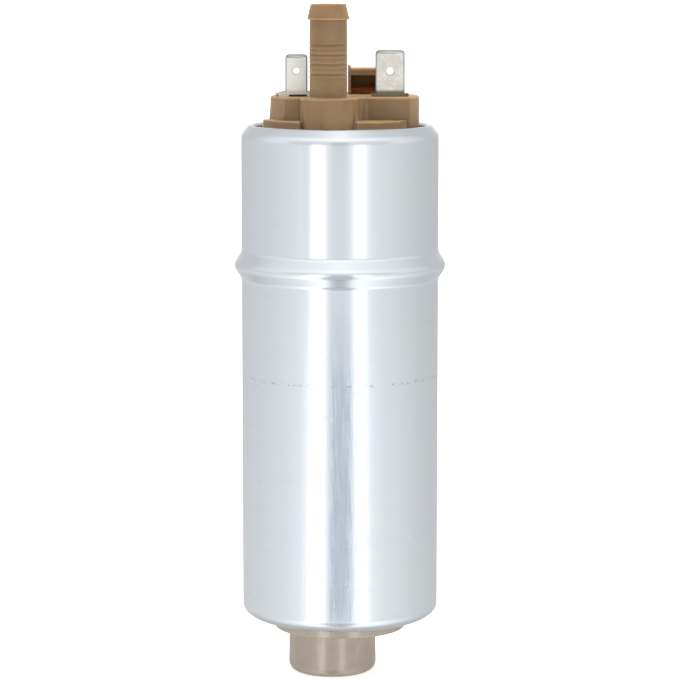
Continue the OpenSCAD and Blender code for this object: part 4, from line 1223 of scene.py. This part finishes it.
def patchNoise(tree, place, size, feeds):
    spread = addNode(tree, "Mapping", {"Vector": place, "Scale": size}).outputs[0]
    return addNode(tree, "TexNoise", {"Vector": spread, "Scale": 1.0, **feeds}).outputs[0]


canFinish = {
    "tint": (0.886, 0.925, 0.950, 1),
    "coolTint": (0.888, 0.925, 0.985, 1),
    # The lip's colour is worn bright metal and also a painted highlight along the crimp's rim
    "lip": (0.97, 0.98, 0.99, 1),
    "lipShare": 0.6,
    "lipWidth": 0.00035,
    "roughness": 0.12,
    "streakAcross": 3.2,
    "streakAlong": 0.14,
    "streakFade": (92.0, 62.0, 0.12, 1.0),
    "streakRoughness": 0.14,
    "streakRelief": 0.4,
    "grainRelief": 0.08,
    "relief": 0.005,
    "scuff": (0.42, 0.40, 0.38, 1),
    "scuffShare": 0.5,
    "scuffHeight": 66.7,
    "scuffHalf": 0.45,
    "scuffCore": 0.3,
    "scuffSize": (1.1, 1.1, 3.0),
    "scuffEdge": (0.55, 0.61),
    "smudge": (0.55, 0.58, 0.60, 1),
    "smudgeShare": 0.10,
    "smudgeSize": (0.09, 0.09, 0.3),
    "smudgeEdge": (0.55, 0.72),
    "smudgeRoughness": 0.10,
    "scratch": (0.62, 0.66, 0.70, 1),
    "scratchShare": 0.25,
    "scratchRoughness": 0.10,
}


def makeCanMetal():
    s = canFinish
    material, tree, shader, place = newMaterial("drawnSteel", {"Metallic": 1.0})
    grain = placeGroup(tree, surfaceGrain, {"Vector": place, "Fine": 4.0, "Wide": 0.06}).outputs
    streak = placeGroup(tree, drawnStreaks, {"Vector": place, "Across": s["streakAcross"],
                                             "Along": s["streakAlong"]}).outputs[0]
    edgeWearAndLight = placeGroup(tree, wornEdges, {"Vector": place, "Width": s["lipWidth"], "Chips": 0.9}).outputs[0]
    scratches = placeGroup(tree, thinScratches, {"Vector": place, "Spread": 0.16, "Amount": 0.15}).outputs[0]
    height = addNode(tree, "SeparateXYZ", {0: place}).outputs[2]
    # The drawn streaks fade out towards the top
    low = between(tree, height, *s["streakFade"])
    # A ring of short scuffs
    ring = calc(tree, "ABSOLUTE", calc(tree, "SUBTRACT", height, s["scuffHeight"]))
    dashes = patchNoise(tree, place, s["scuffSize"], {"Detail": 2.0})
    scuff = calc(tree, "MULTIPLY", between(tree, ring, s["scuffHalf"], s["scuffHalf"] * s["scuffCore"]),
                 between(tree, dashes, *s["scuffEdge"]))
    # Smudges that handling leaves
    smudge = patchNoise(tree, place, s["smudgeSize"], {"Detail": 6.0, "Roughness": 0.7})
    smudge = between(tree, smudge, *s["smudgeEdge"])
    colour = mixColour(tree, grain[1], s["tint"], s["coolTint"])
    colour = coat(tree, colour, smudge, s["smudgeShare"], s["smudge"])
    colour = coat(tree, colour, scuff, s["scuffShare"], s["scuff"])
    colour = coat(tree, colour, scratches, s["scratchShare"], s["scratch"])
    # Wear and a painted highlight along the crimp's rim
    colour = coat(tree, colour, edgeWearAndLight, s["lipShare"], s["lip"])
    tree.links.new(colour, shader.inputs["Base Color"])
    fine = between(tree, streak, 0.35, 0.75)
    rough = calc(tree, "ADD", calc(tree, "MULTIPLY", fine, low, s["streakRoughness"]),
                 calc(tree, "MULTIPLY", smudge, s["smudgeRoughness"]),
                 calc(tree, "MULTIPLY", scratches, s["scratchRoughness"]), s["roughness"])
    tree.links.new(rough, shader.inputs["Roughness"])
    relief = calc(tree, "ADD", calc(tree, "MULTIPLY", streak, low, s["streakRelief"]),
                  calc(tree, "MULTIPLY", grain[0], s["grainRelief"]))
    addBump(tree, shader, calc(tree, "SUBTRACT", relief, scuff, scratches), s["relief"])
    return material


coverFinish = {
    "base": (0.262, 0.165, 0.076, 1),
    "deep": (0.222, 0.134, 0.058, 1),
    # A lighter tone for grain flecks, scratches and rims; on the rims it is wear and a painted highlight
    "edge": (0.42, 0.33, 0.22, 1),
    "roughness": 0.32,
    "glow": 1.0,
    "index": 1.5,
    "shine": 0.5,
    "relief": 0.009,
}
inletFinish = {
    "base": (0.275, 0.203, 0.128, 1),
    "deep": (0.240, 0.173, 0.104, 1),
    "edge": (0.38, 0.31, 0.23, 1),
    "roughness": 0.07,
    "glow": 0.0,
    "index": 2.1,
    "shine": 0.9,
    "relief": 0.0012,
}
plasticMarksAndSheen = {
    "width": 0.00022,
    "wornShare": 0.22,
    "flowShare": 0.28,
    "grainShare": 0.12,
    "scratchShare": 0.3,
    "grainRoughness": 0.12,
    "blotchRoughness": 0.06,
    "glowRadius": (1.0, 0.74, 0.5),
    "glowDepth": 2.2,
}


def makePlastic(name, finish):
    s = plasticMarksAndSheen
    material, tree, shader, place = newMaterial(name, {
        "IOR": finish["index"], "Specular IOR Level": finish["shine"], "Subsurface Weight": finish["glow"],
        "Subsurface Radius": s["glowRadius"], "Subsurface Scale": s["glowDepth"] * mm})
    grain = placeGroup(tree, surfaceGrain, {"Vector": place, "Fine": 5.0, "Wide": 0.22}).outputs
    edgeWearAndLight = placeGroup(tree, wornEdges, {"Vector": place, "Width": s["width"], "Chips": 0.8}).outputs[0]
    flow = placeGroup(tree, drawnStreaks, {"Vector": place, "Across": 1.1, "Along": 0.1}).outputs[0]
    scratches = placeGroup(tree, thinScratches, {"Vector": place, "Spread": 0.3, "Amount": 0.5}).outputs[0]
    colour = mixColour(tree, grain[1], finish["base"], finish["deep"])
    colour = coat(tree, colour, flow, s["flowShare"], finish["deep"])
    colour = coat(tree, colour, grain[0], s["grainShare"], finish["edge"])
    colour = coat(tree, colour, scratches, s["scratchShare"], finish["edge"])
    # Lightened rims: wear, and on the outlet cover also a painted highlight
    colour = coat(tree, colour, edgeWearAndLight, s["wornShare"], finish["edge"])
    tree.links.new(colour, shader.inputs["Base Color"])
    rough = calc(tree, "ADD", calc(tree, "MULTIPLY", grain[0], s["grainRoughness"]),
                 calc(tree, "MULTIPLY", grain[1], s["blotchRoughness"]), finish["roughness"])
    tree.links.new(rough, shader.inputs["Roughness"])
    addBump(tree, shader, calc(tree, "SUBTRACT", grain[0], scratches), finish["relief"])
    return material


# Plain finishes: colour, second colour, edge colour, metallic, roughness, grain per millimetre, relief
finishes = {
    "blackRubber": ((0.028, 0.028, 0.030), (0.040, 0.040, 0.042), (0.075, 0.075, 0.08), 0.0, 0.55, 4.0, 0.01),
    "castAluminium": ((0.60, 0.61, 0.62), (0.50, 0.51, 0.53), (0.80, 0.81, 0.82), 1.0, 0.42, 2.0, 0.012),
    "sinteredSteel": ((0.42, 0.42, 0.43), (0.33, 0.33, 0.34), (0.62, 0.62, 0.63), 1.0, 0.38, 5.0, 0.008),
    "groundSteel": ((0.66, 0.67, 0.68), (0.58, 0.59, 0.60), (0.82, 0.83, 0.84), 1.0, 0.20, 6.0, 0.003),
    "sinteredBronze": ((0.55, 0.36, 0.17), (0.42, 0.27, 0.12), (0.72, 0.50, 0.26), 1.0, 0.42, 5.0, 0.010),
    "zincedSteel": ((0.56, 0.58, 0.60), (0.47, 0.49, 0.52), (0.74, 0.76, 0.78), 1.0, 0.34, 1.4, 0.008),
    "greyFerrite": ((0.070, 0.070, 0.076), (0.045, 0.045, 0.050), (0.16, 0.16, 0.17), 0.0, 0.60, 4.0, 0.016),
    "springSteel": ((0.50, 0.49, 0.47), (0.38, 0.37, 0.35), (0.70, 0.69, 0.66), 1.0, 0.28, 4.0, 0.004),
    "whiteNylon": ((0.62, 0.60, 0.53), (0.54, 0.52, 0.45), (0.74, 0.72, 0.66), 0.0, 0.45, 4.0, 0.010),
    "enamelledCopper": ((0.62, 0.26, 0.10), (0.45, 0.17, 0.06), (0.80, 0.42, 0.20), 1.0, 0.30, 3.0, 0.012),
    "darkResin": ((0.090, 0.060, 0.035), (0.065, 0.042, 0.024), (0.17, 0.12, 0.075), 0.0, 0.48, 4.0, 0.010),
    "brushCarbon": ((0.055, 0.055, 0.058), (0.035, 0.035, 0.038), (0.13, 0.13, 0.135), 0.0, 0.62, 6.0, 0.016),
    "turnedBrass": ((0.72, 0.55, 0.24), (0.60, 0.44, 0.17), (0.86, 0.72, 0.42), 1.0, 0.26, 3.0, 0.005),
    "valvePlastic": ((0.46, 0.46, 0.44), (0.38, 0.38, 0.36), (0.60, 0.60, 0.58), 0.0, 0.42, 4.0, 0.008),
}
finishWear = {
    "width": 0.00016,
    "wornShare": 0.7,
    "grainShare": 0.2,
    "scratchShare": 0.4,
    "grainRoughness": 0.10,
    "scratchRoughness": 0.12,
}


def makeFinish(name):
    s = finishWear
    *colours, metallic, roughness, fine, relief = finishes[name]
    base, second, edge = [colour + (1,) for colour in colours]
    material, tree, shader, place = newMaterial(name, {"Metallic": metallic})
    grain = placeGroup(tree, surfaceGrain, {"Vector": place, "Fine": fine, "Wide": 0.3}).outputs
    edgeWearAndLight = placeGroup(tree, wornEdges, {"Vector": place, "Width": s["width"], "Chips": 1.4}).outputs[0]
    scratches = placeGroup(tree, thinScratches, {"Vector": place, "Spread": 0.5, "Amount": 0.5}).outputs[0]
    colour = mixColour(tree, grain[1], base, second)
    colour = coat(tree, colour, grain[0], s["grainShare"], second)
    colour = coat(tree, colour, scratches, s["scratchShare"], second)
    colour = coat(tree, colour, edgeWearAndLight, s["wornShare"], edge)
    tree.links.new(colour, shader.inputs["Base Color"])
    rough = calc(tree, "ADD", calc(tree, "MULTIPLY", grain[0], s["grainRoughness"]),
                 calc(tree, "MULTIPLY", scratches, s["scratchRoughness"]), roughness)
    tree.links.new(rough, shader.inputs["Roughness"])
    addBump(tree, shader, calc(tree, "SUBTRACT", grain[0], scratches), relief)
    return material


tinFinish = {
    "base": (1.0, 0.985, 0.95, 1),
    "stain": (0.80, 0.77, 0.70, 1),
    "scratchShare": 0.3,
    "sideChange": (-2.0, 2.0),
    "stainBySide": (0.14, 0.8),
    # Painted dark reflection on the blades' side faces and edges
    "edge": (0.20, 0.20, 0.19, 1),
    "edgeWidth": 0.00055,
    "edgeShare": 0.9,
    "edgeTurn": (0.25, 0.5),
    "wornShare": 0.8,
    # Painted dark reflection on the tip's upward slopes
    "coined": (0.50, 0.51, 0.50, 1),
    "coinedShare": 0.9,
    "coinedSlope": (0.05, 0.15),
    # Painted shade at the terminals' foot, next to the cover
    "tarnish": (0.12, 0.105, 0.065, 1),
    "tarnishShare": 0.85,
    "tarnishRise": 1.7,
    "tarnishFull": 0.5,
    "tarnishBySide": (0.25, 1.0),
    "roughness": 0.44,
    "grainRoughness": 0.14,
    "streakRelief": 0.6,
    "grainRelief": 0.6,
    "relief": 0.012,
}


def makeTinPlate():
    s = tinFinish
    material, tree, shader, place = newMaterial("tinPlate", {"Metallic": 1.0})
    grain = placeGroup(tree, surfaceGrain, {"Vector": place, "Fine": 2.6, "Wide": 0.5}).outputs
    streak = placeGroup(tree, drawnStreaks, {"Vector": place, "Across": 3.2, "Along": 0.5}).outputs[0]
    edgeWearAndLight = placeGroup(tree, wornEdges, {"Vector": place, "Width": s["edgeWidth"], "Chips": 0.8}).outputs[0]
    scratches = placeGroup(tree, thinScratches, {"Vector": place, "Spread": 0.5, "Amount": 0.7}).outputs[0]
    spot = addNode(tree, "SeparateXYZ", {0: place}).outputs
    right, height = spot[0], spot[2]
    # The tip's upward slopes are painted a greyer tin and the side faces and edges a dark one: painted
    # reflections of the dark they would mirror
    turn = addNode(tree, "SeparateXYZ", {0: addNode(tree, "NewGeometry").outputs["True Normal"]}).outputs
    coined = between(tree, turn[2], *s["coinedSlope"])
    sideShade = calc(tree, "MAXIMUM", between(tree, calc(tree, "ABSOLUTE", turn[0]), *s["edgeTurn"]),
                   calc(tree, "MULTIPLY", edgeWearAndLight, s["wornShare"]))
    # Painted shade darkens the terminals' foot next to the cover, the wide one's most, and the narrow
    # terminal is the cleaner one
    rise = plateau + s["tarnishRise"]
    foot = between(tree, height, rise, plateau + s["tarnishRise"] * s["tarnishFull"])
    foot = calc(tree, "MULTIPLY", foot, between(tree, right, *s["sideChange"], *s["tarnishBySide"]))
    side = between(tree, right, *s["sideChange"], *s["stainBySide"])
    colour = coat(tree, s["base"], grain[1], side, s["stain"])
    colour = coat(tree, colour, grain[0], side, s["stain"])
    colour = coat(tree, colour, scratches, s["scratchShare"], s["stain"])
    colour = coat(tree, colour, coined, s["coinedShare"], s["coined"])
    colour = coat(tree, colour, sideShade, s["edgeShare"], s["edge"])
    colour = coat(tree, colour, foot, s["tarnishShare"], s["tarnish"])
    tree.links.new(colour, shader.inputs["Base Color"])
    rough = calc(tree, "ADD", calc(tree, "MULTIPLY", grain[0], s["grainRoughness"]), s["roughness"])
    tree.links.new(rough, shader.inputs["Roughness"])
    relief = calc(tree, "ADD", calc(tree, "MULTIPLY", streak, s["streakRelief"]),
                  calc(tree, "MULTIPLY", grain[0], s["grainRelief"]))
    addBump(tree, shader, calc(tree, "SUBTRACT", relief, scratches), s["relief"])
    return material


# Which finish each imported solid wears
nodeFinishes = {
    "canSteel": ("can_shell",),
    "coverPlastic": ("outlet_cover",),
    "inletPlastic": ("inlet_cover",),
    "tinPlate": ("wide_terminal", "narrow_terminal"),
    "blackRubber": ("inlet_seal", "cover_seal"),
    "castAluminium": ("rotor_ring", "port_plate"),
    "sinteredSteel": ("outer_rotor", "inner_rotor"),
    "groundSteel": ("pump_dowels", "shaft", "relief_valve_ball"),
    "sinteredBronze": ("lower_bushing", "upper_bushing", "lower_thrust_washer", "upper_thrust_washer"),
    "zincedSteel": ("flux_tube", "armature_core"),
    "greyFerrite": ("magnet_left", "magnet_right", "wide_choke_core", "narrow_choke_core"),
    "springSteel": ("magnet_clips", "wide_brush_spring", "narrow_brush_spring", "check_valve_spring",
                    "relief_valve_spring"),
    "whiteNylon": ("shaft_spacer", "lower_insulator", "upper_insulator"),
    "enamelledCopper": ("armature_winding", "commutator_segments", "wide_choke_coil", "narrow_choke_coil",
                        "wide_brush_lead", "narrow_brush_lead"),
    "darkResin": ("commutator_hub",),
    "brushCarbon": ("wide_brush", "narrow_brush"),
    "turnedBrass": ("check_valve_seat", "relief_valve_plug"),
    "valvePlastic": ("check_valve_poppet",),
}
# Which finish each new piece wears
pieceFinishes = {
    "canSteel": [can],
    "coverPlastic": [outletCover],
    "inletPlastic": [inletCover],
    "tinPlate": [wideTerminal, narrowTerminal],
    "springSteel": springWires,
    "enamelledCopper": leadBraids,
}

materials = {name: makeFinish(name) for name in finishes}
materials["canSteel"] = makeCanMetal()
materials["tinPlate"] = makeTinPlate()
materials["coverPlastic"] = makePlastic("coverPlastic", coverFinish)
materials["inletPlastic"] = makePlastic("inletPlastic", inletFinish)
print("finishes made")

for finish, pieces in pieceFinishes.items():
    for piece in pieces:
        piece.data.materials.append(materials[finish])
for finish, names in nodeFinishes.items():
    for name in names:
        slots = frame["nodes"][name].data.materials
        slots.clear()
        slots.append(materials[finish])
bare = [name for name in frame["nodes"] if not any(name in names for names in nodeFinishes.values())]
print("finishes placed, bare nodes:", bare)
